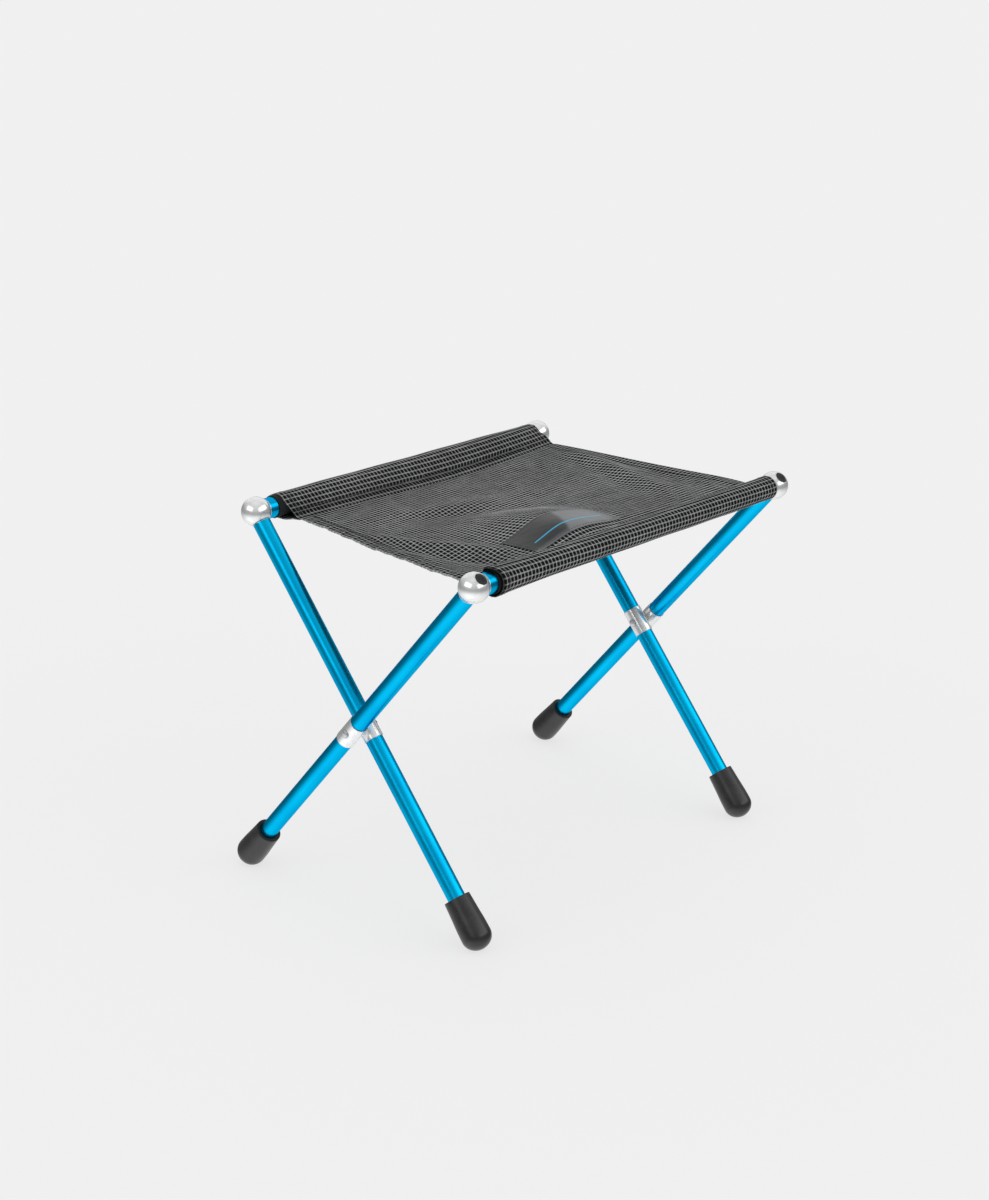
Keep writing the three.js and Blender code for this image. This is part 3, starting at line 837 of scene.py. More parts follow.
def build_ferrule(tag, world, body):
    """Bright sleeve round the leg at the hub, also drilled."""
    half = HUB_LENGTH / 2
    edge = fillet([(HUB_IR, -half), (HUB_OR, -half), (HUB_OR, half), (HUB_IR, half)],
                  [0, 0.24, 0.24, 0])
    wall = [(HUB_OR, z) for z in np.linspace(-half + 0.6, half - 0.6, 17)]
    bore = [(HUB_IR, z) for z in np.linspace(half, -half, 12)][1:-1]
    middle = len(edge) // 2
    ferrule = turned("ferrule_" + tag, edge[:middle] + wall + edge[middle:] + bore, 72, closed=True)
    drill_rivet_hole(ferrule, 0)
    hub = world @ Matrix.Translation((0, 0, -HUB_DROP))
    place(ferrule, hub)

    def wear(loc):
        ends = bell(np.abs(loc[:, 2]) - half, 0.45)
        rivet = bell(np.hypot(loc[:, 1], loc[:, 2]) - RIVET_HEAD_R, 0.5) * 0.8
        return np.maximum(ends, rivet)

    finish_hard(ferrule, hub, wear, "bright_aluminium", body, "hub_ferrule_" + tag)


def build_foot(tag, world, body):
    """Rubber foot: a dome and a flared socket, cut level with the floor."""
    centre, mouth, lip = -LEG_LENGTH, -FOOT_MOUTH, 0.5
    dome = [math.pi / 2 * k / 32 for k in range(33)]
    profile = [(FOOT_MAX_R * math.sin(a), centre - FOOT_DOME_H * math.cos(a)) for a in dome]
    # Cubic through the flare's stations, with averaged slopes.
    radii = [FOOT_MAX_R, FOOT_MAX_R - 0.18, FOOT_MAX_R - 0.62, FOOT_MOUTH_R + 0.18, FOOT_MOUTH_R]
    heights = [centre, centre + 8, centre + 15, mouth - 4, mouth - lip]
    slopes = [(radii[k + 1] - radii[k]) / (heights[k + 1] - heights[k]) for k in range(4)]
    tangents = [0.0, *(0.5 * (a + b) for a, b in zip(slopes, slopes[1:])), slopes[-1]]
    for z in np.linspace(centre, mouth - lip, 24)[1:]:
        i = np.searchsorted(heights, z) - 1
        span = heights[i + 1] - heights[i]
        t = (z - heights[i]) / span
        radius = (
            (2 * t**3 - 3 * t**2 + 1) * radii[i] + (t**3 - 2 * t**2 + t) * span * tangents[i]
            + (-2 * t**3 + 3 * t**2) * radii[i + 1] + (t**3 - t**2) * span * tangents[i + 1]
        )
        profile.append((radius, z))
    for k in range(1, 8):
        a = (math.pi / 2) * k / 7
        profile.append((FOOT_MOUTH_R - lip + lip * math.cos(a), mouth - lip + lip * math.sin(a)))
    # Soft edge into the bore: (beyond the bore's radius, below the mouth).
    bore_edge = [(0.35, 0), (0.18, 0.04), (0.05, 0.14), (0, 0.35)]
    profile += [(FOOT_BORE_R + beyond, mouth - below) for beyond, below in bore_edge]
    profile += [(FOOT_BORE_R, z) for z in np.linspace(mouth - 3, -FOOT_FLOOR, 6)]
    profile += [(0, -FOOT_FLOOR)]
    foot = turned("rubber_foot_" + tag, profile, 88)
    place(foot, world)
    cut_flat(foot, (0, 0, 0.001), (0, 0, -1), bevel=0.18)

    def wear(loc):
        height = np.array(world)[2, :3] @ loc.T + RAIL_Z
        rim = bell(loc[:, 2] - mouth, 0.5) * 0.3 * bell(axis_distance(loc) - FOOT_MOUTH_R, 0.4)
        return np.maximum(bell(height, 1.6), rim)

    finish_hard(foot, world, wear, "foot_rubber", body, "foot_cap_" + tag, sharp=40)


def build_rail(side, leg_x, tilt, y, body):
    half = leg_x - RAIL_FLAT - JOIN_GAP
    profile = tube_profile(RAIL_OR, RAIL_IR, -half, half, [], longest=12.0)
    rail = turned(side + "_rail_tube", profile, 80, closed=True)
    matrix = (Matrix.Translation((0, y, RAIL_Z)) @ Matrix.Rotation(tilt, 4, "X")
              @ Matrix.Rotation(math.pi / 2, 4, "Y"))
    place(rail, matrix)

    def wear(loc):
        return np.maximum(bell(np.abs(loc[:, 2]) - half, 0.5),
                          (axis_distance(loc) < RAIL_IR + 0.3) * 0.45)

    finish_hard(rail, matrix, wear, "anodised_tube", body, side + "_rail")


def build_rivet(tag, turn):
    """Rivet through both legs of one side, with domed heads."""
    start = INNER_LEG_X - HUB_OR - 0.2
    end = OUTER_LEG_X + HUB_OR + 0.2
    near, far = [], []
    for k in range(9):
        a = (math.pi / 2) * k / 8
        near.append((RIVET_HEAD_R * math.sin(a), start - RIVET_HEAD_H * math.cos(a)))
        far.append((RIVET_HEAD_R * math.cos(a), end + RIVET_HEAD_H * math.sin(a)))
    shank = [start, start + 0.2, *np.linspace(start + 2, end - 2, 6), end - 0.2, end]
    rivet = turned("rivet_" + tag, near + [(RIVET_R, x) for x in shank] + far, 48)
    matrix = (Matrix.Translation((0, 0, HUB_Z)) @ Matrix.Rotation(turn, 4, "Z")
              @ Matrix.Rotation(math.pi / 2, 4, "Y"))
    place(rivet, matrix)
    finish_hard(rivet, matrix, lambda loc: bell(axis_distance(loc) - 2.5, 0.35),
                "rivet_steel", "inner_frame", "pivot_rivet_" + tag, sharp=30)


for tag, (x, tilt, y, body, run) in CORNERS.items():
    leg_axes = Matrix.Translation((x, y, RAIL_Z)) @ Matrix.Rotation(tilt, 4, "X")
    build_ball(tag, leg_axes, body, run)
    build_plug(tag, leg_axes, body)
    build_leg(tag, leg_axes, body)
    build_ferrule(tag, leg_axes, body)
    build_foot(tag, leg_axes, body)
build_rail("back", INNER_LEG_X, -TILT, RAIL_Y, "inner_frame")
build_rail("front", OUTER_LEG_X, TILT, -RAIL_Y, "outer_frame")
build_rivet("left", math.pi)
build_rivet("right", 0)

# The cords, their anchors and the washers keep the frame's own meshes.
for name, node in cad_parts.items():
    if name.startswith(("shock_cord", "cord_anchor", "hub_washer")):
        slot = "elastic_cord" if name.startswith("shock_cord") else "nylon"
        register(node, HARD_MATERIALS[slot])


# ------------------------------------------------------------------ seat dimensions

PANEL_THREADS_X = 82                          # grid threads along the rails, on the panel
SLEEVE_THREADS_X = {"back": 79, "front": 85}  # and on each sleeve
PANEL_THREADS_Y = 57                          # from back to front on the panel
SLEEVE_THREADS_ROUND = 19
THREAD_UP = 0.15              # height of a grid thread above its cell
THREAD_HALF = 0.14            # half width of the ridge, in pitches
CLOTH_HALF = 0.25             # half thickness of the cloth
SEAM_IN, TUCK = 13.5, 5.0     # seam's distance in from the rail axis; panel tucked beyond it
LOOP_R = 8.33                 # sleeve's middle surface round the rail
PANEL_Y = RAIL_Y - SEAM_IN

# Each seam's left and right ends in x.
SEAM_ENDS = {"back": (-117, 146), "front": (-139, 149)}
# Seam heights over the rail axis, and the back seam's distance in from its rail, by x.
BACK_SEAM_Z = spline([-117, -60, -20, 21, 86, 141, 146],
                     [-8.4, -9.0, -9.6, -10.3, -8.6, -5.6, -5.3])
BACK_SEAM_IN = spline([-117, -20, 30, 86, 146], [13.5, 14.8, 15.5, 15.9, 15.7])
FRONT_SEAM_Z = spline([-139, -90, -20, 60, 149], [-7.6, -6.4, -4.0, -2.0, -0.2])
# x and height of the panel's left and right edges, by y.
LEFT_X = spline([97.6, 92.6, 45, 10, -15, -45, -75, -92.6, -97.6],
                [-116.6, -117, -122, -128, -132, -135, -138, -139, -139.3])
LEFT_Z = spline([92.6, 45, 10, -15, -45, -75, -92.6], [-8.2, -9, -9, -7.6, -8, -7.4, -7.6])
RIGHT_X = spline([97.6, 92.6, 41, -5, -49, -81, -92.6, -97.6],
                 [146.2, 146, 142, 142, 145, 148, 149, 149.2])
RIGHT_Z = spline([92.6, 41, -5, -49, -81, -92.6], [-5.3, -1.9, -0.5, 0.4, 0.5, -0.2])
# Height of the stiff crest under the patch, by y.
CREST_HEIGHT = spline([92.6, 60, 20, -10, -44, -66, -82, -92.6],
                      [0.0, 1.2, 2.4, 5.6, 11.0, 10.2, 4.6, 0.0])
CREASES = [
    # (x, y) points along the fold; height (negative for a valley); width
    ([(-112, 40), (-98, -4), (-82, -34), (-70, -66)], 2.6, 7.0),
    ([(-118, 10), (-108, -30), (-94, -58), (-84, -78)], -2.2, 7.0),
    ([(-104, 70), (-40, 44), (30, 26), (84, 6)], 1.5, 11.0),
    ([(-84, 66), (-20, 18), (26, -16)], -1.6, 10.0),
    ([(137, 70), (120, 6), (98, -60)], 1.8, 6.5),
    ([(126, 78), (104, 6), (78, -58)], -1.7, 9.0),
    ([(140, 30), (128, -40), (116, -78)], -0.9, 8.0),
]

# ------------------------------------------------------------------ cloth sheets


def thread_rows(count):
    """Row positions in thread units, and which of them ride up on a thread."""
    rows, raised = [0.0], [1.0]
    for k in range(count):
        rows += [k + THREAD_HALF, k + 1 - THREAD_HALF, k + 1.0]
        raised += [0.0, 0.0, 1.0]
    return np.array(rows), np.array(raised)


def grid_uv(columns, rows):
    return np.stack(np.broadcast_arrays(columns[None, :], rows[:, None]), -1)


def normals_of(grid):
    """Unit normals of a grid of points, columns crossed with rows."""
    normals = np.cross(np.gradient(grid, axis=1), np.gradient(grid, axis=0))
    return normals / np.maximum(np.linalg.norm(normals, axis=2, keepdims=True), 1e-9)


def two_sided(name, centre, half, up, uv, tone, flip=False, back_shade=1.0, under=1.0,
              uv_name="weave"):
    """A closed sheet round a grid of middle points, with a rounded edge all round.
    `half` is its half thickness and `up` what threads add, times `under` on the back.
    `flip` reverses the rows, so that the front faces the other way."""
    half, up, tone = (np.broadcast_to(a, centre.shape[:2]) for a in (half, up, tone))
    if flip:
        centre, half, up, uv, tone = (a[::-1] for a in (centre, half, up, uv, tone))
    normals = normals_of(centre)
    top = centre + normals * (half + up)[..., None]
    bottom = centre - normals * (half + up * under)[..., None]
    rows, cols = centre.shape[:2]
    count = rows * cols
    index = np.arange(count).reshape(rows, cols)
    corners = [index[:-1, :-1], index[:-1, 1:], index[1:, 1:], index[1:, :-1]]
    quads = [np.stack(corners, -1).reshape(-1, 4),
             np.stack(corners[:1] + corners[:0:-1], -1).reshape(-1, 4) + count]
    loop = np.concatenate([index[0, :-1], index[:-1, -1], index[-1, :0:-1], index[:0:-1, 0]])
    outward = np.zeros_like(centre)
    outward[0] += centre[0] - centre[1]
    outward[-1] += centre[-1] - centre[-2]
    outward[:, 0] += (centre[:, 0] - centre[:, 1]) * 2
    outward[:, -1] += (centre[:, -1] - centre[:, -2]) * 2
    outward = outward.reshape(-1, 3)
    outward /= np.maximum(np.linalg.norm(outward, axis=1, keepdims=True), 1e-9)
    reach = (half.reshape(-1)[loop] * 0.8 + 0.02)[:, None]
    rim = centre.reshape(-1, 3)[loop] + outward[loop] * reach
    after = np.roll(np.arange(len(loop)), -1)
    rim_index = 2 * count + np.arange(len(loop))
    rim_after = 2 * count + after
    quads.append(np.stack([loop[after], loop, rim_index, rim_after], -1))
    quads.append(np.stack([rim_after, rim_index, loop + count, loop[after] + count], -1))
    verts = np.concatenate([top.reshape(-1, 3), bottom.reshape(-1, 3), rim])
    obj = grid_object(name, verts, np.concatenate(quads))

    mesh = obj.data
    uv, tone = uv.reshape(-1, 2), tone.reshape(-1)
    layer = mesh.uv_layers.new(name=uv_name)
    vertex = np.empty(len(mesh.loops), np.int32)
    mesh.loops.foreach_get("vertex_index", vertex)
    uvs = np.concatenate([uv, uv, uv[loop]])
    layer.data.foreach_set("uv", uvs[vertex].astype(np.float32).ravel())
    # The back face takes `back_shade` times the tone; below 1 it is painted shade.
    tones = np.concatenate([tone, tone * back_shade, tone[loop]])
    attribute = mesh.attributes.new("tone", "FLOAT", "POINT")
    attribute.data.foreach_set("value", tones.astype(np.float32))
    return obj


# ------------------------------------------------------------------ seat panel
# u runs from 0 on the panel's left edge to 1 on its right.


def seam_x(which, u):
    start, end = SEAM_ENDS[which]
    return start + (end - start) * u


def crease(x, y, points, height, width):
    """A fold along a polyline, fading out toward both its ends."""
    nearest = np.full(np.shape(x), 1e9)
    along = np.zeros(np.shape(x))
    lengths = [math.dist(a, b) for a, b in zip(points, points[1:])]
    total, done = sum(lengths), 0.0
    for (x0, y0), (x1, y1), length in zip(points, points[1:], lengths):
        dir_x, dir_y = (x1 - x0) / length, (y1 - y0) / length
        t = np.clip((x - x0) * dir_x + (y - y0) * dir_y, 0, length)
        distance = np.hypot(x - x0 - dir_x * t, y - y0 - dir_y * t)
        closer = distance < nearest
        nearest = np.where(closer, distance, nearest)
        along = np.where(closer, (done + t) / total, along)
        done += length
    fade = smoothstep(0, 0.18, along) * (1 - smoothstep(0.82, 1, along))
    return height * bell(nearest, width) * fade


def panel_z(u, y):
    """Height of the panel's middle surface over the rail axis."""
    x = lerp(LEFT_X(y), RIGHT_X(y), u)
    y_in = np.clip(y, -PANEL_Y, PANEL_Y)
    v = (PANEL_Y - y_in) / (2 * PANEL_Y)
    # Surface spanned by the four edges.
    (back_left, back_right), (front_left, front_right) = SEAM_ENDS["back"], SEAM_ENDS["front"]
    z = lerp(LEFT_Z(y_in), RIGHT_Z(y_in), u)
    z = z + BACK_SEAM_Z(seam_x("back", u)) * (1 - v) + FRONT_SEAM_Z(seam_x("front", u)) * v
    z = z - (
        (1 - u) * ((1 - v) * BACK_SEAM_Z(back_left) + v * FRONT_SEAM_Z(front_left))
        + u * ((1 - v) * BACK_SEAM_Z(back_right) + v * FRONT_SEAM_Z(front_right)))
    # Sag, 0 at the edges and more on the left.
    across = 4 * v * (1 - v)
    along = np.clip(4 * u * (1 - u), 0, 1)
    z = z - 3.6 * across * along * (1 - 0.45 * u)
    # The crest is steep on its left and eases off to the right.
    crest = x - (-27.0 + 0.10 * (y_in + 60))
    ridge = np.where(crest < 0, bell(crest, 29.0), bell(crest, 50.0))
    z = z + np.maximum(CREST_HEIGHT(y_in), 0) * ridge * smoothstep(0, 0.10, across)
    # Slack gathers by the front-left corner; drawn folds and a faint ripple cross the rest.
    hold = smoothstep(0.0, 0.30, across) * smoothstep(0.0, 0.16, along)
    z = z - 2.0 * bell(x + 78, 26) * bell(y + 50, 28) * hold
    for points, height, width in CREASES:
        z = z + crease(x, y, points, height, width) * hold
    return z + 0.5 * np.sin(x / 11.0 + y / 23.0 + 0.6) * np.sin(y / 17.0 - x / 60.0) * hold


def seam_pull(u, y):
    """How much further in than the front one the bowed back seam draws a point."""
    share = np.clip((y + PANEL_Y) / (2 * PANEL_Y), 0, 1)
    return (BACK_SEAM_IN(seam_x("back", u)) - SEAM_IN) * share


def panel_point(x, y):
    u = (x - LEFT_X(y)) / (RIGHT_X(y) - LEFT_X(y))
    return np.stack([x, y - seam_pull(u, y), RAIL_Z + panel_z(u, y)], -1)


def seam_dir(z, inward):
    """Unit direction (inward, up) from the rail axis to a seam."""
    distance = np.hypot(inward, z)
    return inward / distance, z / distance


def panel_grid(u, y):
    """Middle surface of the panel, tucked in along the seam line at both ends."""
    over = np.clip(np.abs(y) - PANEL_Y, 0, None)
    # What is tucked into the back seam is narrower on the right, clear of the leg.
    x = lerp(LEFT_X(y), RIGHT_X(y) - 8.0 * smoothstep(0, 4.5, over) * (y > 0), u)
    back_x = seam_x("back", u)
    seam_z = np.where(y > 0, BACK_SEAM_Z(back_x), FRONT_SEAM_Z(seam_x("front", u)))
    dir_in, dir_z = seam_dir(seam_z, np.where(y > 0, BACK_SEAM_IN(back_x), SEAM_IN))
    tucked = np.where(over > 0, np.sign(y) * (PANEL_Y + over * dir_in), y) - seam_pull(u, y)
    return np.stack([x, tucked, RAIL_Z + (panel_z(u, y) - over * dir_z)], -1)


def build_panel():
    columns, raised_x = thread_rows(PANEL_THREADS_X)
    rows, raised_y = thread_rows(PANEL_THREADS_Y)
    reach = PANEL_Y + TUCK
    u, y = np.meshgrid(columns / PANEL_THREADS_X, reach - (2 * reach) * rows / PANEL_THREADS_Y)
    centre = panel_grid(u, y)
    width = RIGHT_X(y) - LEFT_X(y)
    edge = np.minimum(u, 1 - u) * width
    inside = PANEL_Y - np.abs(y)
    # The cut edge of the left hem is a little ragged, and the hem puckers.
    ragged = (0.2 * np.sin(y * 0.53 + 2.0) + 0.2 * np.sin(y * 1.9)
              + 0.2 * np.sin(y * 4.3 + 1.0) + 0.15 * np.sin(y * 9.1))
    centre[..., 0] -= ragged * bell(u * width, 1.6)
    pucker = 0.45 * np.sin(y * 0.31) * np.sin(y * 0.11 + 0.4) + 0.14 * np.sin(y * 0.87 + 1.3)
    centre[..., 2] += pucker * bell(u * width - 2.0, 5.0) * smoothstep(0, 8, inside)
    free = smoothstep(0, 3.0, PANEL_Y - 1.2 - np.abs(y))
    hem = (1 - smoothstep(9.0, 9.9, edge)) * free
    up = THREAD_UP * np.maximum(raised_x[None, :], raised_y[:, None])
    up = up * (1 - smoothstep(0, 1.0, np.abs(y) - PANEL_Y) * 0.6)
    # Darker on the hems; painted shade lines along their inner edges and down the left one, and a
    # painted shadow by the seams.
    tone = 1.0 - 0.14 * hem - 0.55 * bell(edge - 9.4, 0.8) * free
    tone = tone - 0.45 * bell(edge - 4.4 - 0.5 * np.sin(y * 1.3), 0.9) * (u < 0.5) * free
    tone = tone - 0.30 * bell(np.clip(inside, 0, None), 1.4)
    # Columns run to +X and rows to -Y, so the grid normal points down until flipped.
    panel = two_sided("seat_cloth", centre, CLOTH_HALF + 0.32 * hem, up,
                      grid_uv(columns, rows), tone, flip=True)
    register(panel, FABRIC, replaces="seat_panel")
    return panel


# ------------------------------------------------------------------ sleeves
# Round a rail, `inward` is the distance from its axis toward the seat, `z` the height over it.


def sleeve_section(seam_z, seam_in, rows):
    """Middle line of the loop round the rail, at the given shares of its length."""
    dir_in, dir_z = seam_dir(seam_z, seam_in)
    distance = math.hypot(seam_in, seam_z)
    lift = 0.56   # each lip's middle stands this far from the seam plane

    def lip(out, side):
        return (dir_in * out - side * dir_z * lift, dir_z * out + side * dir_in * lift)

    opening = math.acos((LOOP_R - lift) / distance)
    base = math.atan2(dir_z, dir_in)
    angles = [base - opening - (2 * math.pi - 2 * opening) * k / 60 for k in range(61)]
    points = [lip(distance + 0.4, -1), lip(distance - 1.5, -1)]
    points += [(LOOP_R * math.cos(a), LOOP_R * math.sin(a)) for a in angles]
    points += [lip(distance - 1.5, 1), lip(distance + 1.6, 1)]
    points = np.array(points)
    # Round off the small corners where the straight sides start.
    lengths = arc_lengths(points)
    fine = np.linspace(0, lengths[-1], 400)
    kernel = np.hanning(17)
    kernel /= kernel.sum()
    section = []
    for axis in range(2):
        line = np.interp(fine, lengths, points[:, axis])
        padded = np.pad(line, 8, mode="reflect", reflect_type="odd")
        smoothed = np.convolve(padded, kernel, "valid")
        section.append(np.interp(rows * lengths[-1], fine, smoothed))
    return section


# x of each mouth. All of them slant from the rail's far side in to the seam.


def mouth_back_left(inward, z):
    return -130.0 + 4.5 * smoothstep(-7.5, -3.0, inward) + 7.5 * np.clip((inward - 7.0) / 6.5, 0, 1.1)


def mouth_back_right(inward, z):
    # The underside is cut back to leave room for the leg.
    upper = 8.2 * np.clip((inward + 1.0) / 14.5, 0, 1.0)
    lower = 8.2 * np.clip((inward - 9.2) / 4.3, 0, 1) ** 2
    return 137.8 + np.where(z < -0.237 * inward, lower, upper)


def mouth_front_left(inward, z):
    top = np.clip(z / LOOP_R, 0, 1) ** 2
    flare = 3.4 * top * np.clip((inward + 9) / 9, 0, 1)
    return -142.8 - flare + 2.8 * np.clip(inward / 13.5, 0, 1)


def mouth_front_right(inward, z):
    return 150.6 + 0.8 * np.clip(-inward / 8.3, 0, 1) - 1.6 * np.clip(inward / 13.5, 0, 1.1)


SLEEVES = {
    # sleeve: (sign of its y, left mouth, right mouth, seam height, body)
    "back": (1, mouth_back_left, mouth_back_right, BACK_SEAM_Z, "inner_frame"),
    "front": (-1, mouth_front_left, mouth_front_right, FRONT_SEAM_Z, "outer_frame"),
}


def seam_in_at(which, x):
    return float(BACK_SEAM_IN(x)) if which == "back" else SEAM_IN


def mouths_at_seam(which):
    _, left, right, _, _ = SLEEVES[which]
    return float(left(SEAM_IN, 0)), float(right(SEAM_IN, 0))


def sleeve_grid(which, columns, rows):
    """Middle surface of a sleeve, rows running round the loop from the lower lip to the
    upper one, and each point's distance inward."""
    side, left, right, seam, _ = SLEEVES[which]
    start, end = mouths_at_seam(which)
    inward, z = np.zeros((2, len(rows), len(columns)))
    for k, u in enumerate(columns):
        x = start + (end - start) * u
        inward[:, k], z[:, k] = sleeve_section(float(seam(x)), seam_in_at(which, x), rows)
    x_left, x_right = left(inward, z), right(inward, z)
    x = x_left + (x_right - x_left) * columns[None, :]
    # The loop is a little loose: soft waves round the rail, none at the seam.
    loose = 1 - smoothstep(6.0, 13.0, inward)
    angle = np.arctan2(z, inward)
    wave = 0.10 * np.sin(x / 9.0 + 2.2 * angle) + 0.09 * np.sin(x / 21.0 - 1.4 * angle + 1.0)
    swell = 1 + (wave * loose - 0.05) / np.maximum(np.hypot(inward, z), 1)
    if which == "front":
        # The loop stands off the rail at its left mouth.
        swell = swell * (1 + 0.17 * np.exp(-np.clip(x + 141, 0, None) / 26.0) * loose)
    inward, z = inward * swell, z * swell
    return np.stack([x, side * (RAIL_Y - inward), RAIL_Z + z], -1), inward


def build_sleeve(which):
    side, _, _, _, body = SLEEVES[which]
    columns, raised_x = thread_rows(SLEEVE_THREADS_X[which])
    rows, raised_round = thread_rows(SLEEVE_THREADS_ROUND)
    u = (columns / SLEEVE_THREADS_X[which])[None, :]
    shares = rows / SLEEVE_THREADS_ROUND
    grid, inward = sleeve_grid(which, u[0], shares)
    width = grid[:, -1:, 0] - grid[:, :1, 0]
    deep = inward[-1:, :] - 1.3   # where the seam's lips meet, for each column
    edge = np.minimum(u, 1 - u) * width
    hem = 1 - smoothstep(6.4, 7.2, edge)
    near_seam = smoothstep(-2.6, -0.6, inward - deep)
    # Threads are pressed flat in the lower lip.
    up = (THREAD_UP - 0.02) * np.maximum(raised_x[None, :], raised_round[:, None])
    up = up * (1 - 0.75 * near_seam * (np.arange(len(rows))[:, None] < 12))
    # Darker on the hems and along the front sleeve's left rim; a painted shade line along the hems'
    # inner edge and a painted shadow beside the seam on top.
    tone = 1.0 - 0.14 * hem - 0.2 * bell(edge - 6.9, 0.6)
    rim = u * width + 0.35 * np.sin(1.7 * rows)[:, None]
    tone = tone - 0.75 * (1 - smoothstep(0.7, 1.5, rim)) * (which == "front")
    tone = tone - 0.45 * bell(inward - deep + 3.2, 1.1) * (shares[:, None] > 0.5)
    # Painted shade: the whole sleeve at 0.86 of the panel's brightness, its inner face at 0.55.
    sleeve = two_sided(
        which + "_sleeve_cloth", grid, 0.27 + 0.10 * hem * (1 - near_seam), up,
        grid_uv(columns, rows), 0.86 * tone, flip=side > 0, back_shade=0.55, under=0.5)
    register(sleeve, FABRIC, body=body, replaces=which + "_rail_sleeve")
    return grid


def build_mouth_shade(which, end, start, stop):
    """Dark cloth sheet inside a sleeve's mouth, square cut, close round the rail: painted shade for
    the sleeve's shaded inside.
    """
    side, _, _, _, body = SLEEVES[which]
    angles = np.linspace(math.radians(179), math.radians(-179), 120)
    angle, x = np.meshgrid(angles, np.linspace(start, stop, 40), indexing="ij")
    radius = 7.62 + 0.05 * np.sin(3 * angle + x * 0.3)
    grid = np.stack([x, side * (RAIL_Y - radius * np.cos(angle)),
                     RAIL_Z + radius * np.sin(angle)], -1)
    # Painted shade, a little lighter at its ends.
    tone = 0.42 + 0.1 * bell(np.minimum(x - start, stop - x), 0.8)
    uv = np.stack([(x - start) / 3.4 + 0.5, (angle / (2 * math.pi)) * 14 + 0.5], -1)
    mouth_shade_sheet = two_sided(f"{which}_lining_{end}", grid, 0.17, 0.0, uv, tone, flip=side > 0)
    register(mouth_shade_sheet, MOUTH_SHADE_CLOTH, body=body)


# ------------------------------------------------------------------ stitches and patch


def stitch_object(name, centres, directions, normals, length=2.4, thick=0.27):
    """Short rounded stitches lying on a surface, as one mesh."""
    around, flatness = 8, 0.75
    # Station along the stitch, as a share of its length, and its share of the thickness.
    stations = [(-0.5, 0.0), (-0.46, 0.55), (-0.36, 0.86), (-0.18, 1.0), (0.0, 1.0),
                (0.18, 1.0), (0.36, 0.86), (0.46, 0.55), (0.5, 0.0)]
    verts, faces, loc = [], [], []
    for centre, ahead, up in zip(centres, directions, normals):
        ahead = ahead / np.linalg.norm(ahead)
        up = up - ahead * (up @ ahead)
        up = up / np.linalg.norm(up)
        across = np.cross(up, ahead)
        rings = []
        for t, share in stations:
            point = centre + ahead * t * length + up * (-0.16 * (abs(t) * 2) ** 3)
            count = around if share else 1
            rings.append(range(len(verts), len(verts) + count))
            if not share:
                verts.append(point)
                loc.append((t * length, 0, 0))
                continue
            for k in range(around):
                y, z = math.cos(2 * math.pi * k / around), math.sin(2 * math.pi * k / around)
                verts.append(point + across * y * thick * share + up * z * thick * share * flatness)
                loc.append((t * length, y * thick, z * thick))
        faces += skin(rings)
    obj = new_object(name, verts, faces)
    face_outward(obj)
    attribute = obj.data.attributes.new("loc", "FLOAT_VECTOR", "POINT")
    attribute.data.foreach_set("vector", np.array(loc, np.float32).ravel())
    register(obj, THREAD)
    return obj


def along_line(points, normals, pitch=3.0):
    """Evenly spaced centres, tangents and normals along a dense line of points."""
    lengths = arc_lengths(points)
    count = int(lengths[-1] // pitch)
    stops = (lengths[-1] - count * pitch) / 2 + pitch * (np.arange(count) + 0.5)

    def at(places, values):
        return np.stack([np.interp(places, lengths, values[:, k]) for k in range(3)], -1)

    tangents = at(stops + 0.6, points) - at(stops - 0.6, points)
    return at(stops, points), tangents, at(stops, normals)


def panel_frame(x, y):
    """Points and unit normals on the panel's middle surface."""
    step = 0.5
    along_x = panel_point(x + step, y) - panel_point(x - step, y)
    along_y = panel_point(x, y + step) - panel_point(x, y - step)
    normals = np.cross(along_x, along_y)
    return panel_point(x, y), normals / np.linalg.norm(normals, axis=-1, keepdims=True)


# Patch corners in the row frame, and its size along the cloth.
PATCH_BACK_LEFT, PATCH_BACK_RIGHT = np.array((-65.0, -45.0)), np.array((20.0, -44.0))
PATCH_FRONT_LEFT, PATCH_FRONT_RIGHT = np.array((-66.0, -78.0)), np.array((20.0, -77.5))
PATCH_WIDTH, PATCH_DEPTH = 85.0, 33.5


def patch_frame(along, across):
    """Panel points and normals under the patch, by mm from its left and front edges."""
    s, t = (along / PATCH_WIDTH)[..., None], (across / PATCH_DEPTH)[..., None]
    points = lerp(lerp(PATCH_FRONT_LEFT, PATCH_FRONT_RIGHT, s),
                  lerp(PATCH_BACK_LEFT, PATCH_BACK_RIGHT, s), t)
    return panel_frame(points[..., 0], points[..., 1])


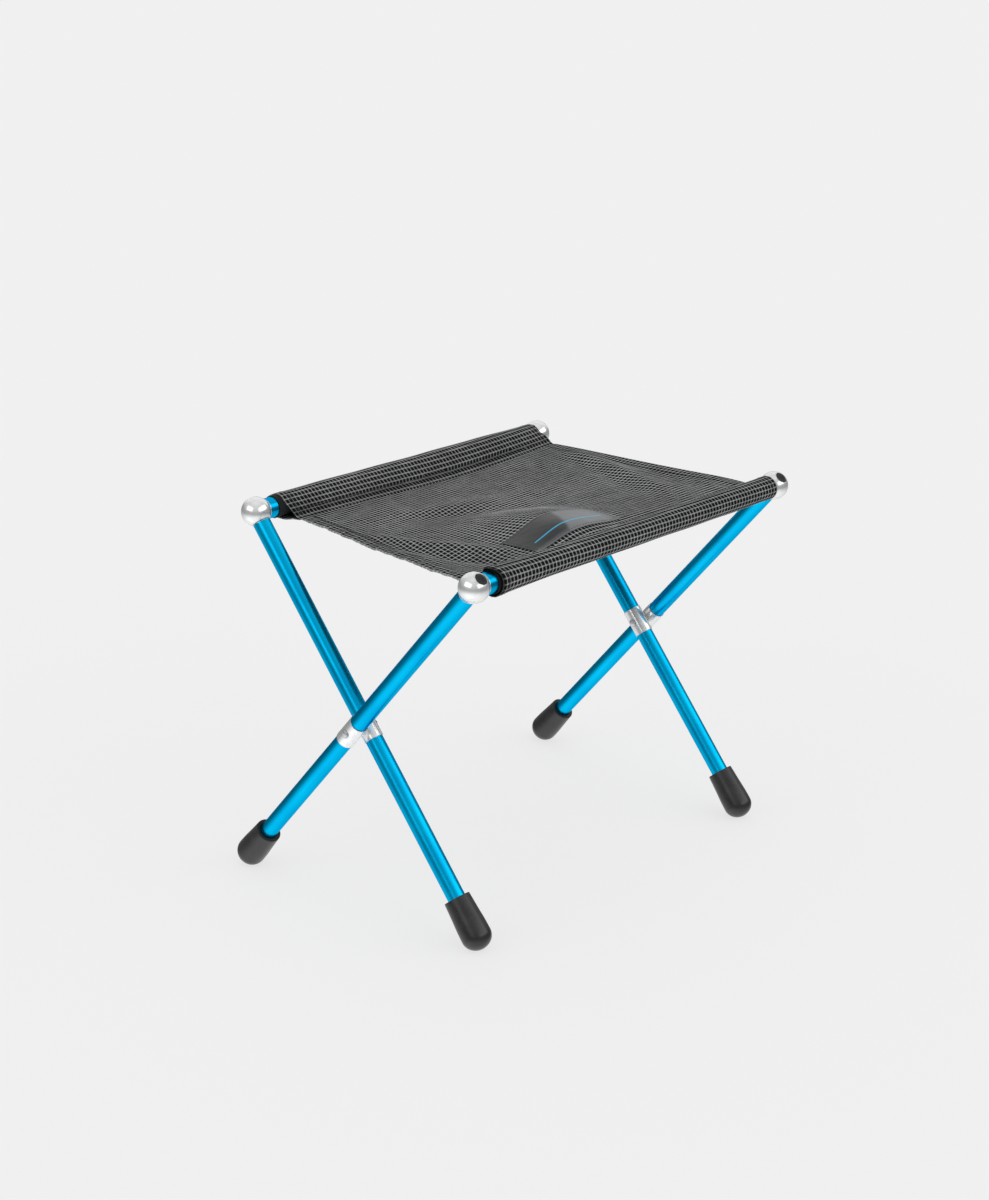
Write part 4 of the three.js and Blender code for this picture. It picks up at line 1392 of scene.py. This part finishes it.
def build_patch():
    corner = 1.4
    s, t = np.meshgrid(np.linspace(0, 1, 160), np.linspace(0, 1, 48))
    # Rounded corners: pull the outline in where both edges are near.
    a, b = s * PATCH_WIDTH, t * PATCH_DEPTH
    core_a = np.clip(a, corner, PATCH_WIDTH - corner)
    core_b = np.clip(b, corner, PATCH_DEPTH - corner)
    off_a, off_b = a - core_a, b - core_b
    square, diagonal = np.maximum(np.abs(off_a), np.abs(off_b)), np.hypot(off_a, off_b)
    shrink = np.where(diagonal > 1e-9, square / np.maximum(diagonal, 1e-9), 1)
    a, b = core_a + off_a * shrink, core_b + off_b * shrink
    points, normals = patch_frame(a, b)
    edge = np.minimum(np.minimum(a, PATCH_WIDTH - a), np.minimum(b, PATCH_DEPTH - b))
    # Drawn down along its stitches, and pressed a little into the grid elsewhere.
    lift = 0.62 - 0.10 * bell(edge - 2.0, 0.8) + 0.03 * np.sin(a / 1.62) * np.sin(b / 1.62)
    lift = lift + 0.12 * np.sin(a / 13.0 + b / 9.0) * smoothstep(4, 10, edge)
    patch = two_sided("label_patch", points + normals * lift[..., None], 0.16, 0.0,
                      np.stack([a, b], -1), 1.0, uv_name="mm")
    register(patch, PATCH_CLOTH, replaces="seat_label")
    return patch


def build_patch_stitches():
    """Stitches round the patch, with its corners cut off."""
    low, cut = 2.0, 2.0 + 1.6
    right, back = PATCH_WIDTH - low, PATCH_DEPTH - low
    right_cut, back_cut = PATCH_WIDTH - cut, PATCH_DEPTH - cut
    path = [(cut, low), (right_cut, low), (right, cut), (right, back_cut), (right_cut, back),
            (cut, back), (low, back_cut), (low, cut), (cut, low)]
    dense = np.array(split_long(path, 0.5))
    points, normals = patch_frame(dense[:, 0], dense[:, 1])
    return stitch_object("patch_stitches", *along_line(points + normals * 0.72, normals, 2.9),
                         length=2.2, thick=0.24)


def build_hem_stitches():
    """One row down each side hem, on top and underneath."""
    hem_in = 7.6
    up = CLOTH_HALF + 0.22 + THREAD_UP * 0.45
    y = np.linspace(PANEL_Y - 5.0, -PANEL_Y + 5.0, 500)
    rows = []
    for side, x in (("left", LEFT_X(y) + hem_in), ("right", RIGHT_X(y) - hem_in)):
        points, normals = panel_frame(x, y)
        for face, sign in (("", 1), ("under_", -1)):
            line = along_line(points + normals * (sign * up), normals * sign)
            rows.append(stitch_object(f"hem_stitches_{face}{side}", *line))
    return rows


def seam_stitches(which, upper, offset, trim):
    """A row along the lips, `offset` from the seam and starting `trim` late."""
    side, _, _, seam, _ = SLEEVES[which]
    start, end = mouths_at_seam(which)
    shares = np.linspace(0, 1, 400)
    points, normals = [], []
    for x in np.linspace(start + 3 + trim, end - 3, 400):
        seam_in = seam_in_at(which, x)
        inward, z = sleeve_section(float(seam(x)), seam_in, shares)
        middle = len(inward) // 2
        part = slice(middle, None) if upper else slice(0, middle)
        inward, z = inward[part], z[part]
        k = int(np.argmin(np.abs(inward - seam_in - offset)))
        dir_in, dir_z = seam_dir(float(seam(x)), seam_in)
        normal_in, normal_z = (-dir_z, dir_in) if upper else (dir_z, -dir_in)
        lift = 0.27 + 0.10
        points.append((x, side * (RAIL_Y - (inward[k] + normal_in * lift)),
                       RAIL_Z + z[k] + normal_z * lift))
        normals.append((0, -side * normal_in, normal_z))
    return along_line(np.array(points), np.array(normals))


def mouth_stitches(which, grid, at_right):
    """A row round one mouth, through its narrow hem."""
    count = grid.shape[1]
    normals = normals_of(grid) * (-SLEEVES[which][0])
    width = np.abs(grid[:, -1, 0] - grid[:, 0, 0])
    threads = SLEEVE_THREADS_X[which]
    column = np.interp(5.2 / width * threads, thread_rows(threads)[0], np.arange(count))
    if at_right:
        column = count - 1 - column
    low = np.clip(np.floor(column).astype(int), 0, count - 2)
    share = (column - low)[:, None]
    row = np.arange(grid.shape[0])
    points = lerp(grid[row, low], grid[row, low + 1], share)
    normals = lerp(normals[row, low], normals[row, low + 1], share)
    normals = normals / np.linalg.norm(normals, axis=1, keepdims=True)
    return along_line((points + normals * 0.46)[4:-4], normals[4:-4])


def build_sleeve_stitches(which, grid):
    """Two rows on the seam's upper side and one underneath, then round both mouths."""
    lines = [
        seam_stitches(which, upper=True, offset=-0.7, trim=0),
        seam_stitches(which, upper=True, offset=-3.2, trim=1.5),
        seam_stitches(which, upper=False, offset=-0.7, trim=0),
        mouth_stitches(which, grid, at_right=False),
        mouth_stitches(which, grid, at_right=True),
    ]
    obj = stitch_object(which + "_sleeve_stitches", *(np.concatenate(part) for part in zip(*lines)))
    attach(obj, SLEEVES[which][4])


# ------------------------------------------------------------------ fold weights, worked out for the soft pieces but never applied

FOLD_ANGLE = 72.0   # how far the outer frame turns from open to shut
FOLD_GAP = 2.5      # the hanging halves stand this far either side of the middle, in degrees


def fold_weight(x, y):
    """Share of the front frame's turn at each point. Shut, the halves hang side by side."""
    u = np.clip((x - LEFT_X(y)) / (RIGHT_X(y) - LEFT_X(y)), 0, 1)
    flat_y = np.clip(y + seam_pull(u, y), -PANEL_Y, PANEL_Y)

    def angle(at_y):
        rise = panel_z(u, at_y) + (RAIL_Z - HUB_Z)
        return np.degrees(np.arctan2(at_y - seam_pull(u, at_y), rise))

    t = (PANEL_Y - flat_y) / (2 * PANEL_Y)
    back = angle(np.full(np.shape(flat_y), PANEL_Y))
    front = angle(np.full(np.shape(flat_y), -PANEL_Y))
    shut = lerp(back, front + FOLD_ANGLE, t) + FOLD_GAP * np.sin(2 * math.pi * t)
    return np.clip((shut - angle(flat_y)) / FOLD_ANGLE, 0, 1)


def bend_across(obj):
    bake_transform(obj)
    coords = np.array([vert.co for vert in obj.data.vertices], float).reshape(-1, 3) * 1000
    weight = fold_weight(coords[:, 0], coords[:, 1])


panel = build_panel()
sleeve_grids = {which: build_sleeve(which) for which in SLEEVES}
build_mouth_shade("back", "left", -130.6, -108.0)
build_mouth_shade("back", "right", 118.0, 136.6)
build_mouth_shade("front", "left", -144.4, -122.0)
build_mouth_shade("front", "right", 134.0, 150.2)
soft_pieces = [panel, build_patch(), build_patch_stitches()]
# The hem rows are made as left, left under, right, right under.
hem_names = {"hem_stitches_under_left": "hem_stitches_under_left"}
soft_pieces += build_hem_stitches()
for which, grid in sleeve_grids.items():
    build_sleeve_stitches(which, grid)
for piece in soft_pieces:
    bend_across(piece)


# ------------------------------------------------------------------ sky
# Angles are in degrees: azimuth from +Y toward +X, elevation up from level.

SKY = [
    # (elevation, strength)
    (-90, 0.84), (-55, 0.82), (-38, 0.80), (-27, 0.66), (-19, 0.42), (-12, 0.22), (-5, 0.15),
    (4, 0.18), (12, 0.34), (26, 0.50), (42, 0.60), (60, 0.70), (76, 0.80), (90, 0.82),
]
SPOTS = [
    # (azimuth, elevation, width at half strength, added strength)
    (-112, -50, 92, 0.36),
    (-66, -42, 40, 0.22),
]
LIGHT_PANELS = [
    # (azimuth, elevation, width, height, edge blur, strength)
    (49, 34, 84, 60, 16.0, 0.88),       # pale wall beyond the stool
    (159, 30.5, 72, 29, 5.0, 1.85),     # key on the right
    (-80, 31, 54, 29, 5.0, 1.65),       # second box on the left
]
BACKDROP = 0.863    # what the camera sees instead of the sky


def direction(azimuth, elevation):
    azimuth, elevation = math.radians(azimuth), math.radians(elevation)
    return (math.sin(azimuth) * math.cos(elevation), math.cos(azimuth) * math.cos(elevation),
            math.sin(elevation))


def sky_gradient(nodes, elevation):
    """Straight-line curve through the SKY stops, as a sum of ramps."""
    total = None
    for (start, low), (end, high) in zip(SKY, SKY[1:]):
        step = elevation.ramp(span=(start, end), to=(0.0, high - low), smooth=False)
        total = step if total is None else total + step
    return total + SKY[0][1]


def soft_rect(nodes, ray, azimuth, elevation, width, height, blur):
    """Mask of a soft-edged rectangle on the sky."""
    centre = Vector(direction(azimuth, elevation))
    right = Vector((centre.y, -centre.x, 0)).normalized()
    up = right.cross(centre)

    def dot(axis):
        return nodes.vector("DOT_PRODUCT", ray, tuple(axis))

    ahead = nodes.math("MAXIMUM", dot(centre), 0.02)
    off_x = abs(nodes.math("ARCTAN2", dot(right), ahead))
    off_y = abs(nodes.math("ARCTAN2", dot(up), ahead))
    half_width, half_height = math.radians(width / 2), math.radians(height / 2)
    soft = math.radians(blur) / 2
    in_front = dot(centre).ramp(span=(0.03, 0.08))
    mask_x = off_x.ramp(span=(half_width - soft, half_width + soft), to=(1.0, 0.0))
    mask_y = off_y.ramp(span=(half_height - soft, half_height + soft), to=(1.0, 0.0))
    return mask_x * mask_y * in_front


def soft_spot(nodes, ray, azimuth, elevation, width):
    away = 1.0 - nodes.vector("DOT_PRODUCT", ray, direction(azimuth, elevation))
    falloff = math.log(2) / (1 - math.cos(math.radians(width / 2)))
    return nodes.math("POWER", math.e, away * -falloff)


def build_world():
    world = bpy.data.worlds.new("studio")
    bpy.context.scene.world = world
    world.use_nodes = True
    nodes = Nodes(world.node_tree)
    ray = nodes.vector("NORMALIZE", nodes.add("ShaderNodeTexCoord", output="Generated"))
    height = nodes.math("MAXIMUM", nodes.separate(ray)[2], -0.9999)
    height = nodes.math("MINIMUM", height, 0.9999)
    sky = sky_gradient(nodes, nodes.math("ARCSINE", height) * (180 / math.pi))
    for *spot, strength in SPOTS:
        sky = sky + soft_spot(nodes, ray, *spot) * strength
    for *rect, strength in LIGHT_PANELS:
        mask = soft_rect(nodes, ray, *rect)
        sky = sky * (1.0 - mask) + mask * strength
    to_camera = nodes.add("ShaderNodeLightPath", output="Is Camera Ray")
    strength = nodes.mix_float(sky, BACKDROP, by=to_camera)
    background = nodes.add("ShaderNodeBackground",
                           {"Color": (1.0, 1.0, 1.0, 1.0), "Strength": strength})
    nodes.node("ShaderNodeOutputWorld", {0: background})
    world.cycles.sampling_method = "MANUAL"
    world.cycles.sample_map_resolution = 512


# ------------------------------------------------------------------ floor and camera

FLOOR_SHARE, FLOOR_GLOW = 0.20, 0.698   # diffuse share and emission of the floor
FLOOR_HALF, FLOOR_Z = 20000.0, -0.15


def floor_paper():
    """Faintly mottled white, clear from below."""
    material, nodes, output = new_material("floor_paper")
    coords = nodes.add("ShaderNodeTexCoord", output="Object")
    paper = nodes.noise(coords, scale=900.0, detail=3.0, rough=0.6)
    tint = nodes.mix((0.985, 0.985, 0.985), (1.0, 1.0, 1.0), by=paper)
    colour = nodes.mix(tint, (FLOOR_SHARE,) * 3, by=1.0, mode="MULTIPLY")
    diffuse = nodes.add("ShaderNodeBsdfDiffuse", {"Color": colour})
    glow = nodes.add("ShaderNodeEmission",
                     {"Color": (1.0, 1.0, 1.0, 1.0), "Strength": FLOOR_GLOW})
    both = nodes.add("ShaderNodeAddShader", {0: diffuse, 1: glow})
    clear = nodes.add("ShaderNodeBsdfTransparent")
    below = nodes.add("ShaderNodeNewGeometry", output="Backfacing")
    nodes.fill(output, {0: nodes.add("ShaderNodeMixShader", {0: below, 1: both, 2: clear})})
    return material


def build_floor():
    """Shown to the camera only, so its faint shadows read without a second bounce."""
    paper = floor_paper()
    corners = [(-1, -1), (1, -1), (1, 1), (-1, 1)]
    verts = [(x * FLOOR_HALF, y * FLOOR_HALF, FLOOR_Z) for x, y in corners]
    floor = new_object("floor", verts, [(0, 1, 2, 3)], smooth=False)
    floor.data.materials.append(paper)
    for ray in ("glossy", "diffuse", "transmission", "shadow", "volume_scatter"):
        setattr(floor, "visible_" + ray, False)


CAMERA_AT = (-1.14640, -0.99168, 0.70949)   # metres
YAW, PITCH, ROLL = 0.8491, 0.3348, 0.0199   # radians: from +Y toward +X, downward, tilt


def build_camera():
    forward = Vector((math.sin(YAW) * math.cos(PITCH), math.cos(YAW) * math.cos(PITCH),
                      -math.sin(PITCH)))
    level = Vector((math.cos(YAW), -math.sin(YAW), 0))
    upright = level.cross(forward)
    right = math.cos(ROLL) * level + math.sin(ROLL) * upright
    up = -math.sin(ROLL) * level + math.cos(ROLL) * upright
    lens = bpy.data.cameras.new("camera")
    lens.lens = 68.305
    lens.sensor_width = 36.0
    lens.sensor_fit = "AUTO"
    lens.clip_start = 0.01
    lens.clip_end = 100.0
    camera = link_object("camera", lens)
    camera.matrix_world = Matrix(
        [(right[i], up[i], -forward[i], CAMERA_AT[i]) for i in range(3)] + [(0, 0, 0, 1)])
    bpy.context.scene.camera = camera


build_world()
build_floor()
build_camera()
bpy.context.scene.view_settings.view_transform = "Standard"
bpy.context.scene.view_settings.look = "None"
